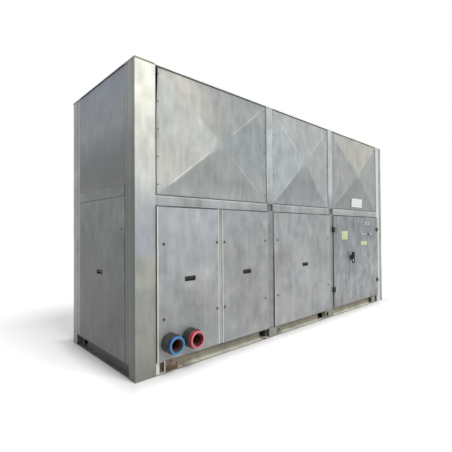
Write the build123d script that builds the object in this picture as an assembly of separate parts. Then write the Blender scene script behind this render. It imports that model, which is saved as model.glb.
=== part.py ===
from build123d import *
import os
from math import cos, radians, sin

os.makedirs("parts", exist_ok=True)

# Packaged water chiller in a sheet-metal housing, three bays long and two storeys high.
# X runs along the long side with the water connections at the low end of X.
# -Y is the service face with the access panels and the electrical door, +Z is up.
# The origin is on the ground under the middle of the housing.

# Housing outline
LENGTH = 4100.0
WIDTH = 1220.0
HEIGHT = 2300.0
SHEET = 3.0

# Base frame
RAIL_HEIGHT = 100.0
RAIL_DEPTH = 50.0
RAIL_WALL = 8.0
POCKET_WIDTH = 100.0
END_POCKET_WIDTH = 75.0
FOOT_WIDTH = 190.0
FOOT_PLATE = 8.0
FOOT_SHIFT = 24.0
LIFTING_HOLE = 52.0
LIFTING_HOLE_EDGE = 47.5
CORNER_SLOT_WIDTH = 43.0
CORNER_SLOT_HEIGHT = 76.0
CORNER_SLOT_EDGE = 29.0
CROSS_MEMBER_WIDTH = 60.0
FLOOR_SHEET = 3.0

# Posts
CORNER_LONG = 168.0
CORNER_SHORT = 158.0
CORNER_STEP = 94.0
POST_WIDTH = 95.0
POST_DEPTH = 40.0
MIDDLE_BAY = 1062.0
SPLICE_HEIGHT = 66.0
SPLICE_EDGE = 8.0
SPLICE_PLATE_BACK = 12.0
SPLICE_PLATE_LAP = 10.0

# Rails between the storeys
MID_RAIL_LOW = 1246.0
MID_RAIL_HEIGHT = 84.0
MID_RAIL_DEPTH = 30.0
END_RAIL_RISE = 79.0

# Roof
ROOF_SHEET = 10.0
ROOF_LAP = 4.0
TOP_RAIL = 40.0
FAN_BORE = 800.0
FAN_RING_WALL = 5.0
FAN_RING_UP = 60.0
FAN_RING_DOWN = 110.0
FAN_TIP_GAP = 12.0
FAN_HUB = 210.0
FAN_HUB_HEIGHT = 90.0
FAN_BLADES = 5
FAN_BLADE_CHORD = 190.0
FAN_BLADE_SHEET = 6.0
FAN_BLADE_PITCH = 28.0
FAN_MOTOR = 150.0
FAN_MOTOR_HEIGHT = 60.0
GUARD_WIRE = 8.0
GUARD_RINGS = 5
GUARD_SPOKES = 8

# Upper panels and coils
PANEL_FIT = 2.0
CROSS_BREAK_RISE = 25.0
CROSS_BREAK_FLAT = 70.0
PAN_DEPTH = 25.0
COIL_DEPTH = 66.0
COIL_INSET = 12.0
COIL_EDGE = 30.0
LABEL_WIDTH = 300.0
LABEL_HEIGHT = 116.0
LABEL_SHEET = 2.0
LABEL_LIFT = 38.0

# Lower access panels
SLAB_PROUD = 15.0
SLAB_IN = 20.0
MULLION_WIDTH = 46.0
MULLION_PROUD = 9.0
MULLION_FIT = 1.5
FIRST_PANEL_SHARE = 598.0
HANDLE_WIDTH = 104.0
HANDLE_HEIGHT = 38.0
HANDLE_LIP = 2.0
HANDLE_LIP_EDGE = 5.0
HANDLE_WALL = 1.5
HANDLE_CUP_DEPTH = 14.0
HANDLE_FIT = 0.3
HANDLE_RISE = 14.0

# Electrical section
DOOR_GAP = 6.0
DOOR_SHEET = 2.5
DOOR_EDGE_FIT = 3.0
HINGE_BARREL = 12.0
HINGE_DOOR_FIT = 1.0
HINGE_PIN = 6.0
HINGE_PIN_FIT = 0.1
HINGE_HEIGHT = 62.0
HINGE_LEAF_WIDTH = 21.0
HINGE_LEAF_SHEET = 5.0
HINGE_KNUCKLE_GAP = 1.0
LATCH_DIAMETER = 60.0
LATCH_HEAD = 10.0
LATCH_STEM = 18.0
LATCH_CAM_LENGTH = 42.0
LATCH_CAM_SHEET = 4.0
LATCH_EDGE_FIT = 4.0
FIXING_FROM_TOP = 177.0
FIXING_FROM_BOTTOM = 225.0
CABINET_DEPTH = 340.0
CABINET_SHEET = 2.0
CABINET_FIT = 12.0
PLATE_SHEET = 4.0
PLATE_EDGE = 60.0
PLATE_STANDOFF = 20.0
STANDOFF_DIAMETER = 16.0

# Main switch
SWITCH_FROM_HINGE = 419.0
SWITCH_FROM_BOTTOM = 600.0
SWITCH_BEZEL = 76.0
SWITCH_BEZEL_HEIGHT = 12.0
SWITCH_HUB = 56.0
SWITCH_HUB_HEIGHT = 24.0
SWITCH_GRIP_LENGTH = 146.0
SWITCH_GRIP_WIDTH = 30.0
SWITCH_GRIP_HEIGHT = 18.0
SWITCH_SHAFT = 12.0
SWITCH_SHAFT_IN = 40.0
SWITCH_FIT = 0.3
SWITCH_FACE_GAP = 0.5

# Small controls on the electrical door
CONTROL_FROM_TOP = 241.0
CONTROL_FROM_EDGE = 250.0
CONTROL_PITCH = 85.0
CONTROL_COUNT = 4
CONTROL_COLLAR = 38.0
CONTROL_COLLAR_HEIGHT = 5.0
CONTROL_KNOB = 28.0
CONTROL_KNOB_HEIGHT = 20.0
KEY_PLATE_FROM_TOP = 91.0
KEY_PLATE_FROM_EDGE = 337.0
KEY_PLATE_WIDTH = 140.0
KEY_PLATE_HEIGHT = 40.0
KEY_PLATE_SHEET = 4.0
KEY_BARREL = 20.0
KEY_BARREL_HEIGHT = 10.0
KEY_BARREL_OFFSET = 6.0

# Water connections
PIPE_FIRST_X = 270.0
PIPE_Z = 230.0
PIPE_OUTER = 89.0
PIPE_WALL = 4.0
PIPE_IN = 240.0
PIPE_RECESS = 14.0
SLEEVE_OUTER = 148.0
SLEEVE_LENGTH = 78.0
SLEEVE_GAP = 40.0
RING_OUTER = 132.0
RING_MOUTH = 100.0
RING_LENGTH = 34.0
RING_CHAMFER = 6.0
PIPE_HOLE_FIT = 1.0

# Places worked out from the sizes above
X_LOW = -LENGTH / 2
X_HIGH = LENGTH / 2
FACE = WIDTH / 2
ROOF_UNDERSIDE = HEIGHT - ROOF_SHEET
MID_RAIL_TOP = MID_RAIL_LOW + MID_RAIL_HEIGHT
END_RAIL_LOW = MID_RAIL_LOW + END_RAIL_RISE
END_RAIL_TOP = END_RAIL_LOW + MID_RAIL_HEIGHT
FLOOR_TOP = RAIL_HEIGHT + FLOOR_SHEET
OUTER_BAY = (LENGTH - 2 * CORNER_LONG - 2 * POST_WIDTH - MIDDLE_BAY) / 2
BAYS = (
    (X_LOW + CORNER_LONG, X_LOW + CORNER_LONG + OUTER_BAY),
    (-MIDDLE_BAY / 2, MIDDLE_BAY / 2),
    (X_HIGH - CORNER_LONG - OUTER_BAY, X_HIGH - CORNER_LONG),
)
POSTS = (-MIDDLE_BAY / 2 - POST_WIDTH / 2, MIDDLE_BAY / 2 + POST_WIDTH / 2)
SLAB_FACE = FACE + SLAB_PROUD
DOOR_BACK = FACE + DOOR_GAP
DOOR_LOW_X = BAYS[2][0]
DOOR_HIGH_X = BAYS[2][1]
DOOR_LOW_Z = RAIL_HEIGHT + DOOR_EDGE_FIT
DOOR_HIGH_Z = MID_RAIL_LOW - DOOR_EDGE_FIT
HINGE_X = DOOR_LOW_X
HINGE_Y = -(SLAB_FACE + HINGE_BARREL / 2 + HINGE_DOOR_FIT)
FIXING_HEIGHTS = (DOOR_LOW_Z + FIXING_FROM_BOTTOM, DOOR_HIGH_Z - FIXING_FROM_TOP)
SWITCH_X = DOOR_LOW_X + SWITCH_FROM_HINGE
SWITCH_Z = DOOR_LOW_Z + SWITCH_FROM_BOTTOM
CONTROL_Z = DOOR_HIGH_Z - CONTROL_FROM_TOP
KEY_PLATE_X = DOOR_HIGH_X - KEY_PLATE_FROM_EDGE
KEY_PLATE_Z = DOOR_HIGH_Z - KEY_PLATE_FROM_TOP


def block(x0, x1, y0, y1, z0, z1):
    """A box between two corners."""
    middle = Pos((x0 + x1) / 2, (y0 + y1) / 2, (z0 + z1) / 2)
    return middle * Box(abs(x1 - x0), abs(y1 - y0), abs(z1 - z0))


def rod_y(x, z, diameter, y0, y1):
    """A round bar along Y."""
    return Pos(x, (y0 + y1) / 2, z) * Rot(90, 0, 0) * Cylinder(diameter / 2, abs(y1 - y0))


def rod_z(x, y, diameter, z0, z1):
    """A round bar along Z."""
    return Pos(x, y, (z0 + z1) / 2) * Cylinder(diameter / 2, abs(z1 - z0))


def to_back(shape):
    """The same piece on the opposite long side."""
    return mirror(shape, about=Plane.XZ)


def to_right(shape):
    """The same piece at the opposite end."""
    return mirror(shape, about=Plane.YZ)


def group(shapes):
    """Pieces of one kind that don't touch, kept as one compound."""
    return Compound(children=[solid for shape in shapes for solid in shape.solids()])


def save(shape, name):
    """Write one named piece."""
    export_step(shape, f"parts/{name}.step")


# Base frame: channels with their flanges outwards, pockets beside the feet


def foot_spans():
    """X ranges of the four foot plates along a long side."""
    inner = MIDDLE_BAY / 2 + POST_WIDTH
    corner = LENGTH / 2 - CORNER_LONG
    return (
        (-corner, -corner + FOOT_WIDTH),
        (-inner + FOOT_SHIFT, -inner + FOOT_SHIFT + FOOT_WIDTH),
        (inner - FOOT_WIDTH, inner),
        (corner - FOOT_WIDTH, corner),
    )


def lifting_hole_places():
    """X of the round lifting holes, near the inner ends of the middle foot plates."""
    _, left, right, _ = foot_spans()
    return (left[1] - LIFTING_HOLE_EDGE, right[0] + LIFTING_HOLE_EDGE)


def base_rail_long():
    """Front channel between the corner posts' sheets."""
    y_out = -FACE + SHEET
    y_in = y_out + RAIL_DEPTH
    rail = block(X_LOW + SHEET, X_HIGH - SHEET, y_out, y_in, 0, RAIL_HEIGHT)
    mouth = (y_out - SHEET, y_in - RAIL_WALL, RAIL_WALL, RAIL_HEIGHT - RAIL_WALL)
    rail -= block(X_LOW, X_HIGH, *mouth)
    for low, _ in foot_spans()[1:3]:
        rail -= block(low - POCKET_WIDTH, low, y_in - 2 * RAIL_WALL, y_in + RAIL_WALL, mouth[2], mouth[3])
    return rail


def base_rail_short():
    """Left channel between the two long rails."""
    x_out = X_LOW + SHEET
    x_in = x_out + RAIL_DEPTH
    y_end = FACE - SHEET - RAIL_DEPTH
    rail = block(x_out, x_in, -y_end, y_end, 0, RAIL_HEIGHT)
    rail -= block(x_out - SHEET, x_in - RAIL_WALL, -FACE, FACE, RAIL_WALL, RAIL_HEIGHT - RAIL_WALL)
    pocket_end = FACE - CORNER_SHORT
    rail -= block(X_LOW, x_in + RAIL_WALL, pocket_end - END_POCKET_WIDTH, pocket_end,
                  RAIL_WALL, RAIL_HEIGHT - RAIL_WALL)
    return rail


def foot_plates():
    """Plates that close the front channel under each post.

    The middle plates have a round lifting hole, the corner plates an upright slot beside the post.
    """
    y0 = -FACE + SHEET
    depth = (y0 - FOOT_PLATE, y0 + 2 * FOOT_PLATE)
    middle = RAIL_HEIGHT / 2
    slot_z = (middle - CORNER_SLOT_HEIGHT / 2, middle + CORNER_SLOT_HEIGHT / 2)
    plates = [
        block(x0, x1, y0, y0 + FOOT_PLATE, RAIL_WALL, RAIL_HEIGHT - RAIL_WALL)
        for x0, x1 in foot_spans()
    ]
    for number, hole_x in enumerate(lifting_hole_places(), 1):
        plates[number] -= rod_y(hole_x, middle, LIFTING_HOLE, *depth)
    post = LENGTH / 2 - CORNER_LONG
    near = post - CORNER_SLOT_EDGE
    far = near - CORNER_SLOT_WIDTH
    plates[0] -= block(-near, -far, *depth, *slot_z)
    plates[-1] -= block(far, near, *depth, *slot_z)
    return plates


def cross_members():
    """Bars across the base under the posts and the middle."""
    y_end = FACE - SHEET - RAIL_DEPTH
    half = CROSS_MEMBER_WIDTH / 2
    bars = [block(x - half, x + half, -y_end, y_end, 0, RAIL_HEIGHT) for x in (POSTS[0], 0, POSTS[1])]
    return group(bars)


def floor_pan():
    """Sheet that lies on the base frame, inside the posts."""
    inset = POST_DEPTH + PANEL_FIT
    return block(X_LOW + CORNER_LONG + PANEL_FIT, X_HIGH - CORNER_LONG - PANEL_FIT,
                 -FACE + inset, FACE - inset, RAIL_HEIGHT, FLOOR_TOP)


# Posts


def corner_post():
    """Folded front left corner post with a stepped strip on its end face."""
    top = ROOF_UNDERSIDE
    front = block(X_LOW, X_LOW + CORNER_LONG, -FACE, -FACE + SHEET, 0, top)
    end = block(X_LOW, X_LOW + SHEET, -FACE, -FACE + CORNER_STEP, 0, top)
    strip_z = RAIL_HEIGHT
    strip = block(X_LOW + SHEET, X_LOW + 2 * SHEET, -FACE + CORNER_STEP - 2 * SHEET,
                  -FACE + CORNER_SHORT, strip_z, top)
    fold = block(X_LOW + CORNER_LONG - SHEET, X_LOW + CORNER_LONG, -FACE, -FACE + POST_DEPTH,
                 RAIL_HEIGHT, top)
    end_fold = block(X_LOW + SHEET, X_LOW + POST_DEPTH, -FACE + CORNER_SHORT - SHEET,
                     -FACE + CORNER_SHORT, strip_z, top)
    return front + end + strip + fold + end_fold


def intermediate_post(x):
    """Folded front post with a recessed splice between the storeys."""
    half = POST_WIDTH / 2
    post = block(x - half, x + half, -FACE, -FACE + POST_DEPTH, RAIL_HEIGHT, ROOF_UNDERSIDE)
    post -= block(x - half + SHEET, x + half - SHEET, -FACE + SHEET, -FACE + 2 * POST_DEPTH,
                  RAIL_HEIGHT, ROOF_UNDERSIDE)
    splice_z = MID_RAIL_LOW + MID_RAIL_HEIGHT / 2
    post -= block(x - half + SPLICE_EDGE, x + half - SPLICE_EDGE, -FACE - SHEET, -FACE + 2 * SHEET,
                  splice_z - SPLICE_HEIGHT / 2, splice_z + SPLICE_HEIGHT / 2)
    plate_half = SPLICE_HEIGHT / 2 + SPLICE_PLATE_LAP
    plate_y = -FACE + SPLICE_PLATE_BACK
    return post + block(x - half + SHEET, x + half - SHEET, plate_y, plate_y + SHEET,
                        splice_z - plate_half, splice_z + plate_half)


# Rails between the storeys and at the top


def mid_rails_long():
    """Front channels between the posts."""
    rails = []
    for x0, x1 in BAYS:
        rail = block(x0, x1, -FACE, -FACE + MID_RAIL_DEPTH, MID_RAIL_LOW, MID_RAIL_TOP)
        rail -= block(x0, x1, -FACE + SHEET, -FACE + 2 * MID_RAIL_DEPTH,
                      MID_RAIL_LOW + SHEET, MID_RAIL_TOP - SHEET)
        rails.append(rail)
    return rails


def mid_rail_end():
    """Channel across the left end."""
    y_end = FACE - CORNER_SHORT
    rail = block(X_LOW, X_LOW + MID_RAIL_DEPTH, -y_end, y_end, END_RAIL_LOW, END_RAIL_TOP)
    rail -= block(X_LOW + SHEET, X_LOW + 2 * MID_RAIL_DEPTH, -y_end, y_end,
                  END_RAIL_LOW + SHEET, END_RAIL_TOP - SHEET)
    return rail


def top_rails_long():
    """Square bars under the roof's long edges, between the end bars."""
    y0 = -FACE + POST_DEPTH
    x_end = LENGTH / 2 - POST_DEPTH - TOP_RAIL
    front = block(-x_end, x_end, y0, y0 + TOP_RAIL, ROOF_UNDERSIDE - TOP_RAIL, ROOF_UNDERSIDE)
    return group([front, to_back(front)])


def top_rails_short():
    """Square bars under the roof's short edges."""
    x0 = X_LOW + POST_DEPTH
    y_end = FACE - POST_DEPTH
    left = block(x0, x0 + TOP_RAIL, -y_end, y_end, ROOF_UNDERSIDE - TOP_RAIL, ROOF_UNDERSIDE)
    return group([left, to_right(left)])


# Roof and fans


def roof_edges():
    """X ranges of the three roof sheets, which meet over the posts' middles."""
    return ((X_LOW - ROOF_LAP, POSTS[0]), (POSTS[0], POSTS[1]), (POSTS[1], X_HIGH + ROOF_LAP))


def fan_centres():
    """X of the three fans, each over the middle of its bay."""
    return [(x0 + x1) / 2 for x0, x1 in BAYS]


def roof_sheet(index):
    """One roof sheet with its fan opening."""
    x0, x1 = roof_edges()[index]
    sheet = block(x0, x1, -FACE - ROOF_LAP, FACE + ROOF_LAP, ROOF_UNDERSIDE, HEIGHT)
    opening = FAN_BORE + 2 * FAN_RING_WALL
    return sheet - rod_z(fan_centres()[index], 0, opening, ROOF_UNDERSIDE - ROOF_SHEET, HEIGHT + ROOF_SHEET)


def fan_ring(x):
    """Short duct around one fan, through the roof."""
    low = ROOF_UNDERSIDE - FAN_RING_DOWN
    high = HEIGHT + FAN_RING_UP
    ring = rod_z(x, 0, FAN_BORE + 2 * FAN_RING_WALL, low, high)
    return ring - rod_z(x, 0, FAN_BORE, low - FAN_RING_WALL, high + FAN_RING_WALL)


def fan_guard(x):
    """Flat guard of rings and spokes that lies on the fan's duct and carries the motor."""
    low = HEIGHT + FAN_RING_UP
    high = low + GUARD_WIRE
    outer = FAN_BORE + 2 * FAN_RING_WALL
    guard = rod_z(x, 0, FAN_MOTOR, low, high)
    for step in range(1, GUARD_RINGS + 1):
        diameter = FAN_MOTOR + (outer - FAN_MOTOR) * step / GUARD_RINGS
        guard += rod_z(x, 0, diameter, low, high) - rod_z(x, 0, diameter - 2 * GUARD_WIRE, low, high)
    for step in range(GUARD_SPOKES // 2):
        spoke = Box(outer - GUARD_WIRE, GUARD_WIRE, GUARD_WIRE)
        guard += Pos(x, 0, (low + high) / 2) * Rot(0, 0, 360 * step / GUARD_SPOKES) * spoke
    return guard


def fan_motor(x):
    """Motor hung under the middle of the guard."""
    high = HEIGHT + FAN_RING_UP
    return rod_z(x, 0, FAN_MOTOR, high - FAN_MOTOR_HEIGHT, high)


def fan_impeller(x):
    """Hub with pitched blades under the motor."""
    high = HEIGHT + FAN_RING_UP - FAN_MOTOR_HEIGHT
    middle = high - FAN_HUB_HEIGHT / 2
    wheel = rod_z(x, 0, FAN_HUB, high - FAN_HUB_HEIGHT, high)
    reach = FAN_BORE / 2 - FAN_TIP_GAP
    root = FAN_HUB / 2 - FAN_BLADE_SHEET
    rise = FAN_BLADE_CHORD * sin(radians(FAN_BLADE_PITCH)) / 2
    half_height = min(rise, FAN_HUB_HEIGHT / 2 - FAN_BLADE_SHEET)
    half_chord = half_height / sin(radians(FAN_BLADE_PITCH))
    for step in range(FAN_BLADES):
        blade = Box(reach - root, 2 * half_chord, FAN_BLADE_SHEET)
        blade = Pos((reach + root) / 2, 0, 0) * Rot(FAN_BLADE_PITCH, 0, 0) * blade
        wheel += Pos(x, 0, middle) * Rot(0, 0, 360 * step / FAN_BLADES) * blade
    inside = rod_z(x, 0, 2 * reach, high - FAN_HUB_HEIGHT, high)
    return wheel & inside


def plenum_floor():
    """Sheet between the storeys, from the front posts to the coils, that closes off the fans' air space."""
    inset = POST_DEPTH + PANEL_FIT
    back = FACE - COIL_INSET - COIL_DEPTH - PANEL_FIT
    return block(X_LOW + inset, X_HIGH - inset, -FACE + inset, back, END_RAIL_TOP, END_RAIL_TOP + FLOOR_SHEET)


def plenum_bearers():
    """Bars across the housing that carry the air space's floor, between the front and back posts."""
    y_end = FACE - POST_DEPTH
    half = POST_WIDTH / 2
    low = END_RAIL_TOP - TOP_RAIL
    return group([block(x - half, x + half, -y_end, y_end, low, END_RAIL_TOP) for x in POSTS])


# Upper storey


def low_point(wide, tall):
    """Low pyramid with a small flat top, pointing to -Y, centred on its own middle."""
    flat = CROSS_BREAK_FLAT / 2
    low_corner = (wide / 2 - flat, tall / 2 - flat)
    high_corner = (wide / 2 + flat, tall / 2 + flat)
    return Rot(0, 0, 180) * Wedge(wide, CROSS_BREAK_RISE, tall, *low_corner, *high_corner)


def cross_broken_pan(index):
    """Front sheet pan folded at its edges, its face raised to a low soft point."""
    x0 = BAYS[index][0] + PANEL_FIT
    x1 = BAYS[index][1] - PANEL_FIT
    z0 = MID_RAIL_TOP
    z1 = ROOF_UNDERSIDE - PANEL_FIT
    wide = x1 - x0
    tall = z1 - z0
    middle = Pos((x0 + x1) / 2, -FACE - CROSS_BREAK_RISE / 2, (z0 + z1) / 2)
    pan = block(x0, x1, -FACE, -FACE + PAN_DEPTH, z0, z1) + middle * low_point(wide, tall)
    inner = low_point(wide - 2 * SHEET, tall - 2 * SHEET)
    pan -= block(x0 + SHEET, x1 - SHEET, -FACE + SHEET, -FACE + 2 * PAN_DEPTH, z0 + SHEET, z1 - SHEET)
    return pan - Pos(0, SHEET, 0) * middle * inner


def blank_label():
    """Plain plate on the lower slope of the last raised panel."""
    x = (BAYS[2][0] + BAYS[2][1]) / 2
    low = MID_RAIL_TOP
    half_tall = (ROOF_UNDERSIDE - PANEL_FIT - low) / 2 - CROSS_BREAK_FLAT / 2
    slope = CROSS_BREAK_RISE / half_tall
    z = low + LABEL_LIFT + LABEL_HEIGHT / 2
    face_y = -FACE - slope * (z - low)
    tilt = Vector(0, 1, 0).get_angle(Vector(0, 1, slope))
    plate = Pos(0, -LABEL_SHEET / 2, 0) * Box(LABEL_WIDTH, LABEL_SHEET, LABEL_HEIGHT)
    return Pos(x, face_y, z) * Rot(tilt, 0, 0) * plate


def end_upper_panel():
    """Flat left end panel of the upper storey."""
    y_end = FACE - CORNER_SHORT - PANEL_FIT
    return block(X_LOW + SHEET, X_LOW + MID_RAIL_DEPTH, -y_end, y_end,
                 END_RAIL_TOP, ROOF_UNDERSIDE - PANEL_FIT)


def coil_top():
    """Top of the coils, under the roof's bars."""
    return ROOF_UNDERSIDE - TOP_RAIL - PANEL_FIT


def coil(index):
    """Finned block with its end plates, in one bay of the back's upper storey."""
    x0 = BAYS[index][0] + PANEL_FIT
    x1 = BAYS[index][1] - PANEL_FIT
    y1 = FACE - COIL_INSET
    return block(x0, x1, y1 - COIL_DEPTH, y1, MID_RAIL_TOP, coil_top())


def coil_frame(index):
    """Flat sheet frame around one coil, flush with the posts."""
    x0 = BAYS[index][0] + PANEL_FIT
    x1 = BAYS[index][1] - PANEL_FIT
    z0 = MID_RAIL_TOP
    z1 = ROOF_UNDERSIDE - PANEL_FIT
    y0 = FACE - COIL_INSET
    frame = block(x0, x1, y0, FACE, z0, z1)
    return frame - block(x0 + COIL_EDGE, x1 - COIL_EDGE, y0 - COIL_INSET, FACE + COIL_INSET,
                         z0 + COIL_EDGE, coil_top() - COIL_EDGE)


# Lower storey


def handle_cut(x, z, y_face):
    """Room for one handle's cup in a front panel."""
    half_w = HANDLE_WIDTH / 2 - HANDLE_LIP_EDGE + HANDLE_FIT
    half_h = HANDLE_HEIGHT / 2 - HANDLE_LIP_EDGE + HANDLE_FIT
    depth = HANDLE_CUP_DEPTH + HANDLE_FIT
    return block(x - half_w, x + half_w, y_face - HANDLE_LIP, y_face + depth, z - half_h, z + half_h)


def handle(x, z, y_face):
    """Recessed pull: a lip on the panel's face and an open cup behind it."""
    half_w = HANDLE_WIDTH / 2
    half_h = HANDLE_HEIGHT / 2
    cup_w = half_w - HANDLE_LIP_EDGE
    cup_h = half_h - HANDLE_LIP_EDGE
    lip = block(x - half_w, x + half_w, y_face - HANDLE_LIP, y_face, z - half_h, z + half_h)
    cup = block(x - cup_w, x + cup_w, y_face, y_face + HANDLE_CUP_DEPTH, z - cup_h, z + cup_h)
    inner_w = cup_w - HANDLE_WALL
    inner_h = cup_h - HANDLE_WALL
    hollow = block(x - inner_w, x + inner_w, y_face - 2 * HANDLE_LIP, y_face + HANDLE_CUP_DEPTH - HANDLE_WALL,
                   z - inner_h, z + inner_h)
    return lip + cup - hollow


def lower_spans():
    """X ranges of the front panels: two in the first bay, one in the second."""
    first, second, _ = BAYS
    split = first[0] + PANEL_FIT + FIRST_PANEL_SHARE
    return (
        (first[0] + PANEL_FIT, split),
        (split + MULLION_WIDTH, first[1] - PANEL_FIT),
        (second[0] + PANEL_FIT, second[1] - PANEL_FIT),
    )


PANEL_LOW = RAIL_HEIGHT
PANEL_HIGH = MID_RAIL_LOW - PANEL_FIT
PANEL_HANDLE_Z = (PANEL_LOW + PANEL_HIGH) / 2 + HANDLE_RISE
END_PANEL_HIGH = END_RAIL_LOW - PANEL_FIT
END_HANDLE_Z = (PANEL_LOW + END_PANEL_HIGH) / 2 + HANDLE_RISE


def lower_slab(x0, x1):
    """Insulated access panel that stands out from the posts, cut for its handle."""
    slab = block(x0, x1, -SLAB_FACE, -FACE + SLAB_IN, PANEL_LOW, PANEL_HIGH)
    return slab - handle_cut((x0 + x1) / 2, PANEL_HANDLE_Z, -SLAB_FACE)


def pipe_centres():
    """X of the two water connections."""
    first = X_LOW + PIPE_FIRST_X
    return (first, first + SLEEVE_OUTER + SLEEVE_GAP)


def first_slab():
    """Access panel with the holes for the water pipes."""
    slab = lower_slab(*lower_spans()[0])
    for x in pipe_centres():
        slab -= rod_y(x, PIPE_Z, PIPE_OUTER + 2 * PIPE_HOLE_FIT, -SLAB_FACE - SLAB_PROUD, -FACE + 2 * SLAB_IN)
    return slab


def mullion():
    """Upright cover strip between the two panels of the first bay."""
    x0 = lower_spans()[0][1] + MULLION_FIT
    x1 = lower_spans()[1][0] - MULLION_FIT
    return block(x0, x1, -FACE - MULLION_PROUD, -FACE + SLAB_IN, RAIL_HEIGHT, MID_RAIL_LOW)


def end_lower_panel():
    """Left end access panel, cut for its handle."""
    y_end = FACE - CORNER_SHORT - PANEL_FIT
    panel = block(X_LOW, X_LOW + MID_RAIL_DEPTH, -y_end, y_end, PANEL_LOW, END_PANEL_HIGH)
    return panel - turned_left(handle_cut(0, END_HANDLE_Z, X_LOW))


def turned_left(shape):
    """A piece drawn for the front, turned to face the left end."""
    return Rot(0, 0, -90) * shape


# Electrical section


def electrical_door():
    """Folded door leaf with holes for the switch's shaft and the latches."""
    door = block(DOOR_LOW_X, DOOR_HIGH_X, -SLAB_FACE, -DOOR_BACK, DOOR_LOW_Z, DOOR_HIGH_Z)
    door -= block(DOOR_LOW_X + DOOR_SHEET, DOOR_HIGH_X - DOOR_SHEET, -SLAB_FACE + DOOR_SHEET,
                  -DOOR_BACK + DOOR_GAP, DOOR_LOW_Z + DOOR_SHEET, DOOR_HIGH_Z - DOOR_SHEET)
    door -= rod_y(SWITCH_X, SWITCH_Z, SWITCH_SHAFT + 2 * SWITCH_FIT, -SLAB_FACE - SLAB_PROUD, -FACE)
    for z in FIXING_HEIGHTS:
        door -= rod_y(latch_x(), z, LATCH_STEM, -SLAB_FACE - SLAB_PROUD, -FACE)
    return door


def latch_x():
    """X of the latches near the door's free edge."""
    return DOOR_HIGH_X - LATCH_DIAMETER / 2 - LATCH_EDGE_FIT


def knuckle(z0, z1):
    """One length of a hinge's barrel."""
    return rod_z(HINGE_X, HINGE_Y, HINGE_BARREL, z0, z1)


def hinge_fixed(z):
    """Hinge leaf on the post with the outer knuckles and the pin."""
    half = HINGE_HEIGHT / 2
    third = HINGE_HEIGHT / 6 + HINGE_KNUCKLE_GAP / 2
    leaf = block(HINGE_X - HINGE_LEAF_WIDTH, HINGE_X - HINGE_BARREL / 2 - HINGE_KNUCKLE_GAP,
                 HINGE_Y - HINGE_LEAF_SHEET / 2, -FACE, z - half, z + half)
    piece = leaf
    for z0, z1 in ((z - half, z - third), (z + third, z + half)):
        piece += knuckle(z0, z1)
        piece += block(HINGE_X - HINGE_LEAF_WIDTH / 2, HINGE_X, HINGE_Y - HINGE_LEAF_SHEET / 2,
                       HINGE_Y + HINGE_LEAF_SHEET / 2, z0, z1)
    piece += rod_z(HINGE_X, HINGE_Y, HINGE_PIN, z - half, z + half)
    return piece


def hinge_moving(z):
    """Hinge leaf on the door with the middle knuckle, bored for the pin."""
    third = HINGE_HEIGHT / 6 - HINGE_KNUCKLE_GAP / 2
    reach = HINGE_X + HINGE_LEAF_WIDTH
    piece = knuckle(z - third, z + third)
    piece += block(HINGE_X, reach, HINGE_Y - HINGE_LEAF_SHEET / 2, HINGE_Y + HINGE_LEAF_SHEET / 2,
                   z - third, z + third)
    piece += block(HINGE_X + HINGE_BARREL / 2 + HINGE_KNUCKLE_GAP, reach,
                   HINGE_Y - HINGE_LEAF_SHEET / 2, -SLAB_FACE, z - HINGE_HEIGHT / 2, z + HINGE_HEIGHT / 2)
    bore = HINGE_PIN + 2 * HINGE_PIN_FIT
    return piece - rod_z(HINGE_X, HINGE_Y, bore, z - HINGE_HEIGHT, z + HINGE_HEIGHT)


def latch(z):
    """Quarter-turn latch: round head, stem and a cam turned clear of the frame."""
    x = latch_x()
    head = rod_y(x, z, LATCH_DIAMETER, -SLAB_FACE - LATCH_HEAD, -SLAB_FACE)
    stem_end = -DOOR_BACK
    stem = rod_y(x, z, LATCH_STEM, -SLAB_FACE, stem_end)
    cam = block(x - LATCH_STEM / 2, x + LATCH_STEM / 2, stem_end - LATCH_CAM_SHEET, stem_end,
                z - LATCH_CAM_LENGTH, z + LATCH_STEM / 2)
    return head + stem + cam


def cabinet_box():
    """Open-fronted sheet cabinet behind the electrical door."""
    x0 = BAYS[2][0] + CABINET_FIT
    x1 = BAYS[2][1] - CABINET_FIT
    y0 = -FACE + MID_RAIL_DEPTH
    y1 = -FACE + CABINET_DEPTH
    z0 = FLOOR_TOP
    z1 = MID_RAIL_LOW - CABINET_FIT
    box = block(x0, x1, y0, y1, z0, z1)
    return box - block(x0 + CABINET_SHEET, x1 - CABINET_SHEET, y0 - CABINET_DEPTH, y1 - CABINET_SHEET,
                       z0 + CABINET_SHEET, z1 - CABINET_SHEET)


def mounting_plate():
    """Plain plate on four stand-offs at the back of the cabinet."""
    x0 = BAYS[2][0] + CABINET_FIT + PLATE_EDGE
    x1 = BAYS[2][1] - CABINET_FIT - PLATE_EDGE
    z0 = FLOOR_TOP + PLATE_EDGE
    z1 = MID_RAIL_LOW - CABINET_FIT - PLATE_EDGE
    y_wall = -FACE + CABINET_DEPTH - CABINET_SHEET
    y1 = y_wall - PLATE_STANDOFF
    plate = block(x0, x1, y1 - PLATE_SHEET, y1, z0, z1)
    for x in (x0 + PLATE_EDGE, x1 - PLATE_EDGE):
        for z in (z0 + PLATE_EDGE, z1 - PLATE_EDGE):
            plate += rod_y(x, z, STANDOFF_DIAMETER, y1, y_wall)
    return plate


def switch_bezel():
    """Round bezel of the main switch on the door."""
    bezel = rod_y(SWITCH_X, SWITCH_Z, SWITCH_BEZEL, -SLAB_FACE - SWITCH_BEZEL_HEIGHT, -SLAB_FACE)
    hole = SWITCH_SHAFT + 2 * SWITCH_FIT
    return bezel - rod_y(SWITCH_X, SWITCH_Z, hole, -SLAB_FACE - 2 * SWITCH_BEZEL_HEIGHT, -FACE)


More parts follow.
